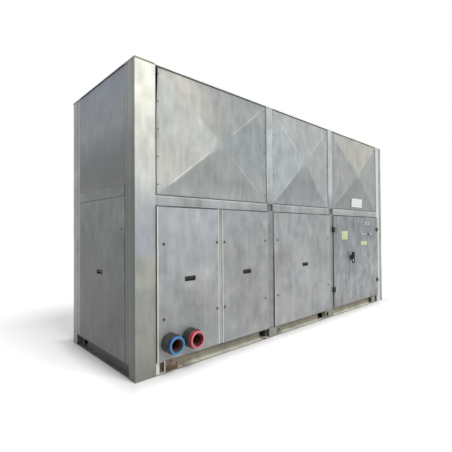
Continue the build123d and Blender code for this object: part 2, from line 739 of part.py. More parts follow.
def switch_handle():
    """Turning handle with an upright grip and its shaft through the door."""
    y_hub = -SLAB_FACE - SWITCH_BEZEL_HEIGHT - SWITCH_FACE_GAP
    y_grip = y_hub - SWITCH_HUB_HEIGHT
    hub = rod_y(SWITCH_X, SWITCH_Z, SWITCH_HUB, y_grip, y_hub)
    half = SWITCH_GRIP_LENGTH / 2
    grip = block(SWITCH_X - SWITCH_GRIP_WIDTH / 2, SWITCH_X + SWITCH_GRIP_WIDTH / 2,
                 y_grip - SWITCH_GRIP_HEIGHT, y_hub - SWITCH_HUB_HEIGHT / 2, SWITCH_Z - half, SWITCH_Z + half)
    grip = fillet(grip.edges().filter_by(Axis.Y), SWITCH_GRIP_WIDTH / 2 - 1)
    shaft = rod_y(SWITCH_X, SWITCH_Z, SWITCH_SHAFT, y_hub - SHEET, y_hub + SWITCH_SHAFT_IN)
    return hub + grip + shaft


def control_places():
    """X of the small controls, in a row that ends near the door's free edge."""
    last = DOOR_HIGH_X - CONTROL_FROM_EDGE
    return [last - CONTROL_PITCH * step for step in reversed(range(CONTROL_COUNT))]


def control(x):
    """One small round control: a collar with a knob."""
    collar = rod_y(x, CONTROL_Z, CONTROL_COLLAR, -SLAB_FACE - CONTROL_COLLAR_HEIGHT, -SLAB_FACE)
    return collar + rod_y(x, CONTROL_Z, CONTROL_KNOB, -SLAB_FACE - CONTROL_KNOB_HEIGHT, -SLAB_FACE)


def key_plate():
    """Small plain plate above the controls."""
    half_w = KEY_PLATE_WIDTH / 2
    half_h = KEY_PLATE_HEIGHT / 2
    return block(KEY_PLATE_X - half_w, KEY_PLATE_X + half_w, -SLAB_FACE - KEY_PLATE_SHEET, -SLAB_FACE,
                 KEY_PLATE_Z - half_h, KEY_PLATE_Z + half_h)


def key_barrel():
    """Lock barrel on the small plate."""
    y0 = -SLAB_FACE - KEY_PLATE_SHEET
    return rod_y(KEY_PLATE_X + KEY_BARREL_OFFSET, KEY_PLATE_Z, KEY_BARREL, y0 - KEY_BARREL_HEIGHT, y0)


# Water connections


def water_pipe(x):
    """Steel pipe stub through the first access panel."""
    y0 = -SLAB_FACE - SLEEVE_LENGTH - RING_LENGTH + PIPE_RECESS
    y1 = -FACE + PIPE_IN
    pipe = rod_y(x, PIPE_Z, PIPE_OUTER, y0, y1)
    return pipe - rod_y(x, PIPE_Z, PIPE_OUTER - 2 * PIPE_WALL, y0 - PIPE_WALL, y1 + PIPE_WALL)


def pipe_sleeve(x):
    """Soft sleeve around the pipe, seated on the panel."""
    y0 = -SLAB_FACE - SLEEVE_LENGTH
    sleeve = rod_y(x, PIPE_Z, SLEEVE_OUTER, y0, -SLAB_FACE)
    return sleeve - rod_y(x, PIPE_Z, PIPE_OUTER, y0 - PIPE_WALL, -FACE)


def pipe_ring(x):
    """Coloured ring on the pipe's end, with a wider mouth in front of the pipe."""
    y1 = -SLAB_FACE - SLEEVE_LENGTH
    y0 = y1 - RING_LENGTH
    ring = rod_y(x, PIPE_Z, RING_OUTER, y0, y1)
    ring = chamfer(ring.edges().group_by(Axis.Y)[0], RING_CHAMFER)
    ring -= rod_y(x, PIPE_Z, RING_MOUTH, y0 - RING_CHAMFER, y0 + PIPE_RECESS)
    return ring - rod_y(x, PIPE_Z, PIPE_OUTER, y0 - PIPE_WALL, -FACE)


def pipe_bracket():
    """Plate inside the housing that carries both pipes, standing on the floor."""
    x0 = pipe_centres()[0] - SLEEVE_OUTER / 2
    x1 = pipe_centres()[1] + SLEEVE_OUTER / 2
    y0 = -FACE + PIPE_IN - POST_DEPTH
    plate = block(x0, x1, y0, y0 + 2 * SHEET, FLOOR_TOP, PIPE_Z + SLEEVE_OUTER / 2)
    for x in pipe_centres():
        plate -= rod_y(x, PIPE_Z, PIPE_OUTER, y0 - SHEET, y0 + 3 * SHEET)
    return plate


# Base
front_rail = base_rail_long()
left_rail = base_rail_short()
front_feet = foot_plates()
save(front_rail, "base_rail_front")
save(to_back(front_rail), "base_rail_back")
save(group([left_rail, to_right(left_rail)]), "base_rails_ends")
save(group(front_feet + [to_back(plate) for plate in front_feet]), "foot_plates")
save(cross_members(), "base_cross_members")
save(floor_pan(), "floor_pan")

# Posts and rails
front_left_post = corner_post()
front_right_post = to_right(front_left_post)
save(group([front_left_post, front_right_post]), "corner_posts_front")
save(group([to_back(front_left_post), to_back(front_right_post)]), "corner_posts_back")
front_posts = [intermediate_post(x) for x in POSTS]
save(group(front_posts), "middle_posts_front")
save(group([to_back(post) for post in front_posts]), "middle_posts_back")
front_mid_rails = mid_rails_long()
save(group(front_mid_rails), "mid_rails_front")
save(group([to_back(rail) for rail in front_mid_rails]), "mid_rails_back")
save(group([mid_rail_end(), to_right(mid_rail_end())]), "mid_rails_end")
save(top_rails_long(), "top_rails_long")
save(top_rails_short(), "top_rails_short")
save(plenum_bearers(), "plenum_bearers")
save(plenum_floor(), "plenum_floor")

# Roof and fans
for number in range(len(BAYS)):
    save(roof_sheet(number), f"roof_sheet_{number + 1}")
save(group([fan_ring(x) for x in fan_centres()]), "fan_rings")
save(group([fan_guard(x) for x in fan_centres()]), "fan_guards")
save(group([fan_motor(x) for x in fan_centres()]), "fan_motors")
save(group([fan_impeller(x) for x in fan_centres()]), "fan_impellers")

# Upper storey
for number in range(len(BAYS)):
    save(cross_broken_pan(number), f"upper_panel_{number + 1}")
save(blank_label(), "blank_label")
save(group([end_upper_panel(), to_right(end_upper_panel())]), "upper_panels_end")
save(group([coil(number) for number in range(len(BAYS))]), "condenser_coils")
save(group([coil_frame(number) for number in range(len(BAYS))]), "coil_frames")

# Lower storey
spans = lower_spans()
save(first_slab(), "lower_panel_1")
save(lower_slab(*spans[1]), "lower_panel_2")
save(lower_slab(*spans[2]), "lower_panel_3")
save(mullion(), "panel_mullion")
front_handles = [handle((x0 + x1) / 2, PANEL_HANDLE_Z, -SLAB_FACE) for x0, x1 in spans]
left_panel = end_lower_panel()
save(group([left_panel, to_right(left_panel)]), "lower_panels_end")
left_handle = turned_left(handle(0, END_HANDLE_Z, X_LOW))
end_handles = [left_handle, to_right(left_handle)]
back_spans = [(x0 + PANEL_FIT, x1 - PANEL_FIT) for x0, x1 in BAYS]
back_slabs = [to_back(lower_slab(x0, x1)) for x0, x1 in back_spans]
save(group(back_slabs), "lower_panels_back")
back_handles = [to_back(handle((x0 + x1) / 2, PANEL_HANDLE_Z, -SLAB_FACE)) for x0, x1 in back_spans]
save(group(front_handles + end_handles + back_handles), "panel_handles")

# Electrical section
save(cabinet_box(), "electrical_cabinet")
save(mounting_plate(), "mounting_plate")
save(electrical_door(), "electrical_door")
save(group([hinge_fixed(z) for z in FIXING_HEIGHTS]), "hinge_leaves_fixed")
save(group([hinge_moving(z) for z in FIXING_HEIGHTS]), "hinge_leaves_door")
save(group([latch(z) for z in FIXING_HEIGHTS]), "door_latches")
save(switch_bezel(), "main_switch_bezel")
save(switch_handle(), "main_switch_handle")
save(group([control(x) for x in control_places()]), "control_knobs")
save(key_plate(), "key_plate")
save(key_barrel(), "key_barrel")

# Water connections
blue_x, red_x = pipe_centres()
save(group([water_pipe(x) for x in pipe_centres()]), "water_pipes")
save(group([pipe_sleeve(x) for x in pipe_centres()]), "pipe_sleeves")
save(pipe_ring(blue_x), "pipe_ring_blue")
save(pipe_ring(red_x), "pipe_ring_red")
save(pipe_bracket(), "pipe_bracket")
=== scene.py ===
import logging
import math
from dataclasses import dataclass
from enum import Enum
from typing import Callable

import bmesh
import bpy
import numpy as np
from mathutils import Matrix, Vector


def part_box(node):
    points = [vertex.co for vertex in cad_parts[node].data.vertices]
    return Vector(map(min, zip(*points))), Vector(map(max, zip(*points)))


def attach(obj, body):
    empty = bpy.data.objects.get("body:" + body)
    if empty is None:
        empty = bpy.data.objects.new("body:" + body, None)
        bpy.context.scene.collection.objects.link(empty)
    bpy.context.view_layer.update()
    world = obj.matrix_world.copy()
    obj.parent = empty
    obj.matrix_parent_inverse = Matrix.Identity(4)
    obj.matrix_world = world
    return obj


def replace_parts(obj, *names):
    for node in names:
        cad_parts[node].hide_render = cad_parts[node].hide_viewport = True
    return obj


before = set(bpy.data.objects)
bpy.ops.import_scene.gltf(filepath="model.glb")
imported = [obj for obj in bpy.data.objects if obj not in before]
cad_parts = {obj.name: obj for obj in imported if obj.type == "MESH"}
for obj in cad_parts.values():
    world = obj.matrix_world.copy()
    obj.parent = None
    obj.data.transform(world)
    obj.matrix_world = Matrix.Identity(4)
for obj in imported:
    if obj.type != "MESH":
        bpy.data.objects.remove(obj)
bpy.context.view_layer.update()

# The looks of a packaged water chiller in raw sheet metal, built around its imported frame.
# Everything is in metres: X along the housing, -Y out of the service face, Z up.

Array = np.ndarray
Colour = tuple[float, float, float]
Place = tuple[float, float, float]
Socket = bpy.types.NodeSocket
Object = bpy.types.Object
Material = bpy.types.Material

LOG = logging.getLogger("chiller")
SMOOTH_ANGLE = math.radians(35)
FULL_TURN = 2 * math.pi
SERVICE_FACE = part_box("corner_posts_front")[0].y


def shade(red: int, green: int, blue: int) -> Colour:
    """Display colour of 0 to 255 as linear light: ((c / 255 + 0.055) / 1.055) to the power 2.4."""
    values = (np.array((red, green, blue)) / 255 + 0.055) / 1.055
    return tuple(float(v) for v in values ** 2.4)


# Names that the frame knows


class Body(Enum):
    """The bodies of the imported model."""

    HOUSING = "housing"
    DOOR = "electrical_door"
    SWITCH = "main_switch_handle"


class Slot(Enum):
    """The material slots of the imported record."""

    SHEET = "mill_aluminium"
    BASE = "base_steel"
    FAN = "fan_steel"
    BLACK_METAL = "black_metal"
    FINS = "coil_fins"
    BLACK = "black_plastic"
    WHITE = "white_plastic"
    CABINET = "cabinet_paint"
    ZINC = "galvanised_plate"
    PIPE = "pipe_steel"
    RUBBER = "sleeve_rubber"
    BLUE = "blue_plastic"
    RED = "red_plastic"


class Side(Enum):
    """A side of the housing, as the directions right, up and outwards on it."""

    FRONT = ((1, 0, 0), (0, 0, 1), (0, -1, 0))
    BACK = ((-1, 0, 0), (0, 0, 1), (0, 1, 0))
    LEFT = ((0, -1, 0), (0, 0, 1), (-1, 0, 0))
    RIGHT = ((0, 1, 0), (0, 0, 1), (1, 0, 0))
    TOP = ((1, 0, 0), (0, 1, 0), (0, 0, 1))

    def place(self, local: Array, at: Place = (0, 0, 0)) -> Array:
        """Turns (right, up, out) points to this side and moves them by a place."""
        return local @ np.array(self.value, float) + np.array(at, float)


# Skins: points and faces worked out as whole arrays


def grid_faces(rows: int, columns: int, wrap_rows: bool = False, wrap_columns: bool = True) -> Array:
    """Quads of a grid of points: each joins (i, j), (i + 1, j), (i + 1, j + 1) and (i, j + 1)."""
    index = np.arange(rows * columns).reshape(rows, columns)
    if wrap_rows:
        index = np.vstack([index, index[:1]])
    if wrap_columns:
        index = np.hstack([index, index[:, :1]])
    corners = (index[:-1, :-1], index[1:, :-1], index[1:, 1:], index[:-1, 1:])
    return np.stack(corners, -1).reshape(-1, 4)


@dataclass
class Skin:
    """Points of a surface, and its faces as arrays of point numbers, one array for each number of corners."""

    points: Array
    faces: list[Array]

    def placed(self, side: Side, at: Place = (0, 0, 0)) -> "Skin":
        """The skin turned to a side of the housing and moved to a place."""
        return Skin(side.place(self.points, at), self.faces)

    def turned(self, angle: float) -> "Skin":
        """The skin turned about its local out direction: a rotation of right and up by the angle."""
        c, s = math.cos(angle), math.sin(angle)
        return Skin(self.points @ np.array([[c, s, 0], [-s, c, 0], [0, 0, 1]]), self.faces)

    def copies(self, places: Array) -> "Skin":
        """One copy at each place: every point plus every place, every face plus the copy's first point."""
        places = np.asarray(places, float).reshape(-1, 3)
        count = len(self.points)
        first = np.arange(len(places))[:, None, None] * count
        points = (self.points[None] + places[:, None]).reshape(-1, 3)
        return Skin(points, [(f[None] + first).reshape(-1, f.shape[1]) for f in self.faces])

    @staticmethod
    def joined(skins: list["Skin"]) -> "Skin":
        """Several skins as one, each with its point numbers moved past the ones before."""
        starts = np.cumsum([0] + [len(s.points) for s in skins[:-1]])
        faces = [f + start for s, start in zip(skins, starts) for f in s.faces]
        return Skin(np.vstack([s.points for s in skins]), faces)


def loft(rings: Array, closed_path: bool = False) -> Skin:
    """Closed skin through a stack of rings.

    Args:
        rings: Array of ring, point and coordinate. Ring i is joined to ring i + 1.
        closed_path: Joins the last ring to the first. Otherwise both end rings are capped.

    Returns:
        The skin, whose side quads run between neighbouring rings.
    """
    count, sides, _ = rings.shape
    faces = [grid_faces(count, sides, wrap_rows=closed_path)]
    if not closed_path:
        faces.append(np.arange(sides)[None, ::-1])
        faces.append(np.arange(sides)[None] + (count - 1) * sides)
    return Skin(rings.reshape(-1, 3), faces)


def lathe(profile: list[tuple[float, float]], sides: int = 32, hollow: bool = False,
          ribs: tuple[int, float] = (0, 0.0)) -> Skin:
    """Turned skin about the local out direction: (radius cos a, radius sin a, height) for each angle a.

    Args:
        profile: Pairs of radius and height.
        sides: Number of steps around.
        hollow: The profile is a closed loop that doesn't touch the axis.
        ribs: Number and depth of ribs, which take depth (1 + cos(number a)) / 2 off the radius.

    Returns:
        The skin, centred on its own axis.
    """
    pairs = np.array(profile, float)
    angle = np.linspace(0, FULL_TURN, sides, endpoint=False)
    radius = pairs[:, :1] - ribs[1] * (1 + np.cos(ribs[0] * angle))[None] / 2 * bool(ribs[0])
    height = np.broadcast_to(pairs[:, 1:], radius.shape)
    rings = np.stack([radius * np.cos(angle), radius * np.sin(angle), height], -1)
    return loft(rings, closed_path=hollow)


def rounded_rectangle(half_wide: float, half_tall: float, radius: float, steps: int = 5) -> Array:
    """Outline of a rectangle with round corners: corner middle + radius (cos a, sin a), a quarter turn each."""
    radius = max(min(radius, half_wide, half_tall), 1e-5)
    signs = np.array([(1, 1), (-1, 1), (-1, -1), (1, -1)])
    angle = np.linspace(0, math.pi / 2, steps)[None] + np.arange(4)[:, None] * math.pi / 2
    middle = signs * (half_wide - radius, half_tall - radius)
    return (middle[:, None] + radius * np.stack([np.cos(angle), np.sin(angle)], -1)).reshape(-1, 2)


def rectangle_loft(half_wide: float, half_tall: float, radius: float, profile: list[tuple[float, float]],
                   closed_path: bool = False) -> Skin:
    """Skin of a rounded rectangle whose outline moves in and out.

    Args:
        half_wide: Half of the width.
        half_tall: Half of the height.
        radius: Corner radius of the outline with no inset.
        profile: Pairs of inset and out distance: each is a ring of the rectangle made smaller by the inset.
        closed_path: The profile is a loop, as in a frame.

    Returns:
        The skin, centred on its own middle.
    """
    rings = []
    for inset, out in profile:
        outline = rounded_rectangle(half_wide - inset, half_tall - inset, radius - inset)
        rings.append(np.column_stack([outline, np.full(len(outline), out)]))
    return loft(np.array(rings), closed_path)


def boxes(lows: Array, highs: Array) -> Skin:
    """One skin of many boxes: corner k of a box takes low or high in each direction by the bits of k."""
    lows, highs = np.asarray(lows, float).reshape(-1, 3), np.asarray(highs, float).reshape(-1, 3)
    bits = (np.arange(8)[:, None] >> np.arange(3)) & 1
    points = np.where(bits[None] == 1, highs[:, None], lows[:, None]).reshape(-1, 3)
    quads = np.array([(0, 2, 3, 1), (4, 5, 7, 6), (0, 1, 5, 4), (2, 6, 7, 3), (0, 4, 6, 2), (1, 3, 7, 5)])
    return Skin(points, [(quads[None] + 8 * np.arange(len(lows))[:, None, None]).reshape(-1, 4)])


def rod(length: float, radius: float, sides: int = 10) -> Skin:
    """Round rod along the local right direction: a circle in up and out at each end."""
    angle = np.linspace(0, FULL_TURN, sides, endpoint=False)
    circle = np.stack([np.zeros(sides), radius * np.cos(angle), radius * np.sin(angle)], -1)
    return loft(np.stack([circle, circle + (length, 0, 0)]))


# Objects


def finished(name: str, mesh: bpy.types.Mesh, body: Body, materials: list[Material]) -> Object:
    """Object for a mesh that is in place: dressed, riding on its body and reported.

    Args:
        name: Name of the piece.
        mesh: Its mesh, in the frame's own place.
        body: The body that it moves with.
        materials: Its materials, in the order that the faces number them.

    Returns:
        The object.
    """
    for material in materials:
        mesh.materials.append(material)
    mesh.shade_smooth()
    mesh.set_sharp_from_angle(angle=SMOOTH_ANGLE)
    piece = bpy.data.objects.new(name, mesh)
    bpy.context.scene.collection.objects.link(piece)
    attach(piece, body.value)
    LOG.info("%s: %d points on %s", name, len(mesh.vertices), body.value)
    return piece


def piece_from_skin(name: str, skin: Skin, body: Body, slot: Slot, *materials: Material,
                    colours: Array | None = None) -> Object:
    """Object from a closed skin, with its doubles merged and its faces turned outwards.

    Args:
        name: Name of the piece.
        skin: The closed skin, in place.
        body: The body that it moves with.
        slot: The record's slot; not used.
        materials: One or more materials.
        colours: A linear colour for each point, kept as the attribute "tone".

    Returns:
        The object.
    """
    mesh = bpy.data.meshes.new(name)
    mesh.from_pydata(skin.points.tolist(), [], [face for f in skin.faces for face in f.tolist()])
    if colours is not None:
        tone = mesh.attributes.new("tone", "FLOAT_COLOR", "POINT")
        tone.data.foreach_set("color", np.column_stack([colours, np.ones(len(colours))]).ravel())
    sheet = bmesh.new()
    sheet.from_mesh(mesh)
    bmesh.ops.remove_doubles(sheet, verts=sheet.verts, dist=1e-6)
    bmesh.ops.recalc_face_normals(sheet, faces=sheet.faces)
    sheet.to_mesh(mesh)
    sheet.free()
    return finished(name, mesh, body, list(materials))


def softened(name: str, node: str, material: Material, body: Body = Body.HOUSING,
             width: float = 0.0015, keep: Callable[[Vector], bool] | None = None) -> Object:
    """A node of the frame with its loose triangles made whole and its edges rounded, to stand for it.

    Args:
        name: Name of the piece.
        node: The node that it copies and replaces.
        material: Its material.
        body: The body that it moves with.
        width: Width of the rounded edges.
        keep: Says of a point whether its solid belongs to this piece, where a node is shared out.

    Returns:
        The object.
    """
    solid = bmesh.new()
    solid.from_mesh(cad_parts[node].data)
    bmesh.ops.remove_doubles(solid, verts=solid.verts, dist=1e-5)
    if keep is not None:
        bmesh.ops.delete(solid, geom=[v for v in solid.verts if not keep(v.co)], context="VERTS")
    bmesh.ops.dissolve_limit(solid, angle_limit=math.radians(0.5), verts=solid.verts, edges=solid.edges)
    mesh = bpy.data.meshes.new(name)
    solid.to_mesh(mesh)
    solid.free()
    piece = finished(name, mesh, body, [material])
    bevel = piece.modifiers.new("rounded edges", "BEVEL")
    bevel.width = width
    bevel.segments = 2
    bevel.limit_method = "ANGLE"
    bevel.angle_limit = math.radians(40)
    bevel.use_clamp_overlap = False
    bevel.harden_normals = True
    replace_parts(piece, node)
    return piece


def middle_of(node: str) -> Vector:
    """Middle of a node's box."""
    low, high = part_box(node)
    return (low + high) / 2


# Shader trees and the effects that the finishes share


@dataclass
class Tree:
    """Short calls that add nodes and links to one shader tree."""

    tree: bpy.types.NodeTree

    def add(self, kind: str, **settings: object) -> bpy.types.Node:
        """Adds a node of a kind and sets its plain properties."""
        node = self.tree.nodes.new(kind)
        for name, value in settings.items():
            setattr(node, name, value)
        return node

    def feed(self, socket: Socket, value: "Socket | float | tuple") -> None:
        """Links a socket to another, or sets its own value."""
        if isinstance(value, bpy.types.NodeSocket):
            self.tree.links.new(value, socket)
        elif isinstance(value, tuple) and len(value) == 3 and socket.type == "RGBA":
            socket.default_value = (*value, 1.0)
        else:
            socket.default_value = value

    def math(self, operation: str, first: "Socket | float", second: "Socket | float" = 0.0,
             clamp: bool = False) -> Socket:
        """Result of a Math node."""
        node = self.add("ShaderNodeMath", operation=operation, use_clamp=clamp)
        self.feed(node.inputs[0], first)
        self.feed(node.inputs[1], second)
        return node.outputs[0]

    def between(self, value: Socket, low: "Socket | float", high: "Socket | float",
                to_low: float = 0.0, to_high: float = 1.0) -> Socket:
        """Smooth step of a value from one range to another, clamped."""
        node = self.add("ShaderNodeMapRange", interpolation_type="SMOOTHSTEP", clamp=True)
        for socket, given in zip(node.inputs, (value, low, high, to_low, to_high)):
            self.feed(socket, given)
        return node.outputs[0]

    def mixed(self, share: "Socket | float", first: "Socket | Colour", second: "Socket | Colour",
              blend: str = "MIX") -> Socket:
        """Result of a colour Mix node."""
        node = self.add("ShaderNodeMix", data_type="RGBA", blend_type=blend)
        self.feed(node.inputs["Factor"], share)
        self.feed(node.inputs[6], first)
        self.feed(node.inputs[7], second)
        return node.outputs[2]

    def scaled(self, place: Socket, scale: Place, turn: Place = (0, 0, 0)) -> Socket:
        """A place stretched and turned by a Mapping node."""
        node = self.add("ShaderNodeMapping")
        self.feed(node.inputs["Vector"], place)
        node.inputs["Scale"].default_value = scale
        node.inputs["Rotation"].default_value = turn
        return node.outputs[0]

    def noise(self, place: Socket, scale: float, detail: float = 2.0, rough: float = 0.5) -> Socket:
        """Value of a Noise texture, about 0.5 in the middle."""
        node = self.add("ShaderNodeTexNoise")
        self.feed(node.inputs["Vector"], place)
        node.inputs["Scale"].default_value = scale
        node.inputs["Detail"].default_value = detail
        node.inputs["Roughness"].default_value = rough
        return node.outputs[0]

    def swing(self, value: Socket, amount: "Socket | float") -> Socket:
        """A noise value as a swing about zero: (value - 0.5) times twice the amount."""
        return self.math("MULTIPLY", self.math("SUBTRACT", value, 0.5), self.math("MULTIPLY", amount, 2.0))

    def group(self, tree: bpy.types.NodeTree, **values: object) -> bpy.types.Node:
        """Places a node group and feeds its named inputs, with spaces for underscores."""
        node = self.add("ShaderNodeGroup", node_tree=tree)
        for name, value in values.items():
            self.feed(node.inputs[name.replace("_", " ")], value)
        return node


SOCKET_KINDS = {"value": "NodeSocketFloat", "place": "NodeSocketVector", "colour": "NodeSocketColor"}


def new_group(name: str, inputs: dict[str, tuple[str, object]], outputs: dict[str, str]
              ) -> tuple[Tree, dict[str, Socket], dict[str, Socket]]:
    """An empty node group with named sockets.

    Args:
        name: Name of the group.
        inputs: For each input, its kind and its usual value.
        outputs: For each output, its kind.

    Returns:
        The group's tree, its inputs' sockets and its outputs' sockets.
    """
    tree = bpy.data.node_groups.new(name, "ShaderNodeTree")
    for label, (kind, usual) in inputs.items():
        socket = tree.interface.new_socket(label, in_out="INPUT", socket_type=SOCKET_KINDS[kind])
        if usual is not None:
            socket.default_value = usual
    for label, kind in outputs.items():
        tree.interface.new_socket(label, in_out="OUTPUT", socket_type=SOCKET_KINDS[kind])
    start = tree.nodes.new("NodeGroupInput")
    end = tree.nodes.new("NodeGroupOutput")
    return (Tree(tree), {s.name: s for s in start.outputs if s.name},
            {s.name: s for s in end.inputs if s.name})


class Effects:
    """The effects that several finishes share, each built once as a node group."""

    def __init__(self) -> None:
        """Builds every group."""
        self.mottle = self.make_mottle()
        self.grime = self.make_grime()
        self.rust = self.make_rust()
        self.scratches = self.make_scratches()
        self.border = self.make_border()
        self.moulding = self.make_moulding()

    @staticmethod
    def make_mottle() -> bpy.types.NodeTree:
        """Clouds, patches, streaks that run down, drips and a warm or cool tint on raw sheet."""
        t, i, o = new_group(
            "sheet mottle",
            {"Place": ("place", None), "Cloud": ("value", 0.08), "Patch": ("value", 0.05),
             "Streak": ("value", 0.06), "Tint": ("value", 0.5)},
            {"Colour": "colour", "Height": "value", "Rough": "value"})
        place = i["Place"]
        bent = t.add("ShaderNodeVectorMath", operation="ADD")
        drift = t.add("ShaderNodeTexNoise")
        t.feed(drift.inputs["Vector"], place)
        drift.inputs["Scale"].default_value = 5.0
        spread = t.add("ShaderNodeVectorMath", operation="SCALE")
        t.feed(spread.inputs[0], drift.outputs[1])
        spread.inputs["Scale"].default_value = 0.04
        t.feed(bent.inputs[0], place)
        t.feed(bent.inputs[1], spread.outputs[0])
        waved = bent.outputs[0]
        cloud = t.noise(waved, 2.4, 3.0)
        patch = t.noise(t.scaled(waved, (1, 1, 0.8)), 8.0, 2.5, 0.55)
        streak = t.noise(t.scaled(waved, (22, 22, 5.0)), 1.0, 2.0, 0.5)
        fine = t.noise(t.scaled(place, (190, 190, 9)), 1.0, 2.0)
        drip_noise = t.noise(t.scaled(waved, (17, 17, 1.1)), 1.0, 1.0)
        drip = t.between(drip_noise, 0.6, 0.74, 0.0, 0.08)
        total = t.math("ADD", t.swing(cloud, i["Cloud"]), t.swing(patch, i["Patch"]))
        total = t.math("ADD", total, t.swing(streak, i["Streak"]))
        total = t.math("ADD", total, t.swing(fine, 0.03))
        total = t.math("ADD", t.math("ADD", total, drip), 0.985)
        warm_noise = t.noise(place, 2.6, 2.0)
        pink_noise = t.noise(t.scaled(place, (1.3, 1.1, 1.0)), 3.1, 1.0)
        tint = t.mixed(t.between(warm_noise, 0.38, 0.62), (0.962, 1.004, 1.008), (1.008, 1.006, 0.972))
        tint = t.mixed(t.between(pink_noise, 0.54, 0.68, 0.0, 0.55), tint, (1.022, 0.985, 1.0))
        tint = t.mixed(i["Tint"], (1.0, 1.0, 1.0), tint)
        grey = t.add("ShaderNodeCombineColor")
        for socket in grey.inputs:
            t.feed(socket, total)
        t.feed(o["Colour"], t.mixed(1.0, grey.outputs[0], tint, "MULTIPLY"))
        waves = t.noise(t.scaled(place, (1, 1, 0.8)), 2.2, 1.0)
        height = t.math("ADD", t.math("MULTIPLY", waves, 6.0), t.math("MULTIPLY", fine, 0.1))
        t.feed(o["Height"], height)
        t.feed(o["Rough"], t.math("ADD", t.swing(patch, 0.12), t.swing(streak, 0.1)))
        return t.tree

    @staticmethod
    def make_grime() -> bpy.types.NodeTree:
        """Mask of dirt that has settled and splashed up to a height, broken up by noise."""
        t, i, o = new_group(
            "settled grime",
            {"Place": ("place", None), "Top": ("value", 0.4), "Amount": ("value", 0.5)},
            {"Mask": "value"})
        apart = t.add("ShaderNodeSeparateXYZ")
        t.feed(apart.inputs[0], i["Place"])
        ragged = t.math("ADD", apart.outputs[2], t.swing(t.noise(i["Place"], 7.0, 4.0, 0.65), 0.22))
        low = t.between(ragged, 0.0, i["Top"], 1.0, 0.0)
        specks = t.between(t.noise(i["Place"], 90.0, 2.0), 0.4, 0.7, 0.55, 1.0)
        t.feed(o["Mask"], t.math("MULTIPLY", t.math("MULTIPLY", low, specks), i["Amount"], clamp=True))
        return t.tree

    @staticmethod
    def make_rust() -> bpy.types.NodeTree:
        """Mask and colour of rust that blooms in patches with darker middles."""
        t, i, o = new_group(
            "rust bloom",
            {"Place": ("place", None), "Scale": ("value", 9.0), "Amount": ("value", 0.4)},
            {"Mask": "value", "Colour": "colour", "Height": "value"})
        bloom = t.add("ShaderNodeTexNoise")
        t.feed(bloom.inputs["Vector"], i["Place"])
        t.feed(bloom.inputs["Scale"], i["Scale"])
        bloom.inputs["Detail"].default_value = 5.0
        bloom.inputs["Roughness"].default_value = 0.65
        edge = t.math("SUBTRACT", 0.72, t.math("MULTIPLY", i["Amount"], 0.4))
        mask = t.between(bloom.outputs[0], edge, t.math("ADD", edge, 0.09))
        fine = t.noise(i["Place"], 120.0, 3.0)
        colour = t.mixed(t.between(fine, 0.3, 0.7), shade(84, 58, 38), shade(142, 101, 66))
        t.feed(o["Mask"], mask)
        t.feed(o["Colour"], colour)
        t.feed(o["Height"], t.math("MULTIPLY", mask, fine))
        return t.tree

    @staticmethod
    def make_scratches() -> bpy.types.NodeTree:
        """Mask of thin scratches in two slanting directions, from long stretched noise cut to its crests."""
        t, i, o = new_group(
            "scratches",
            {"Place": ("place", None), "Amount": ("value", 0.5)},
            {"Mask": "value"})
        masks = []
        for turn in (0.45, -0.7):
            lines = t.noise(t.scaled(i["Place"], (3, 3, 260), (0, turn, turn)), 1.0, 1.0)
            broken = t.between(t.noise(i["Place"], 4.0, 2.0), 0.55, 0.65)
            masks.append(t.math("MULTIPLY", t.between(lines, 0.7, 0.76), broken))
        t.feed(o["Mask"], t.math("MULTIPLY", t.math("MAXIMUM", *masks), i["Amount"]))
        return t.tree

    @staticmethod
    def make_border() -> bpy.types.NodeTree:
        """Masks of painted light on a panel: painted shade in its top joint, a painted highlight along its low-X edge
        and painted shade on its returns behind the face.
        """
        t, i, o = new_group(
            "panel painted light",
            {"Place": ("place", None), "Left": ("value", 0.0), "Top": ("value", 0.0), "Face": ("value", 0.0),
             "Joint": ("value", 0.007), "Edge": ("value", 0.006)},
            {"Joint": "value", "Edge": "value", "Return": "value"})
        apart = t.add("ShaderNodeSeparateXYZ")
        t.feed(apart.inputs[0], i["Place"])
        below = t.math("SUBTRACT", i["Top"], apart.outputs[2])
        t.feed(o["Joint"], t.between(below, t.math("MULTIPLY", i["Joint"], 0.6), i["Joint"], 1.0, 0.0))
        inside = t.math("SUBTRACT", apart.outputs[0], i["Left"])
        t.feed(o["Edge"], t.between(inside, t.math("MULTIPLY", i["Edge"], 0.6), i["Edge"], 1.0, 0.0))
        behind = t.math("SUBTRACT", apart.outputs[1], i["Face"])
        t.feed(o["Return"], t.between(behind, 0.0022, 0.0042))
        return t.tree

    @staticmethod
    def make_moulding() -> bpy.types.NodeTree:
        """Fine pitted height and a faint lightening of moulded plastic and foam."""
        t, i, o = new_group(
            "moulded grain",
            {"Place": ("place", None), "Scale": ("value", 900.0), "Fade": ("value", 0.2)},
            {"Height": "value", "Fade": "value"})
        pits = t.add("ShaderNodeTexNoise")
        t.feed(pits.inputs["Vector"], i["Place"])
        t.feed(pits.inputs["Scale"], i["Scale"])
        t.feed(o["Height"], pits.outputs[0])
        dust = t.between(t.noise(i["Place"], 35.0, 4.0, 0.6), 0.4, 0.75)
        t.feed(o["Fade"], t.math("MULTIPLY", dust, i["Fade"]))
        return t.tree


EFFECTS = Effects()


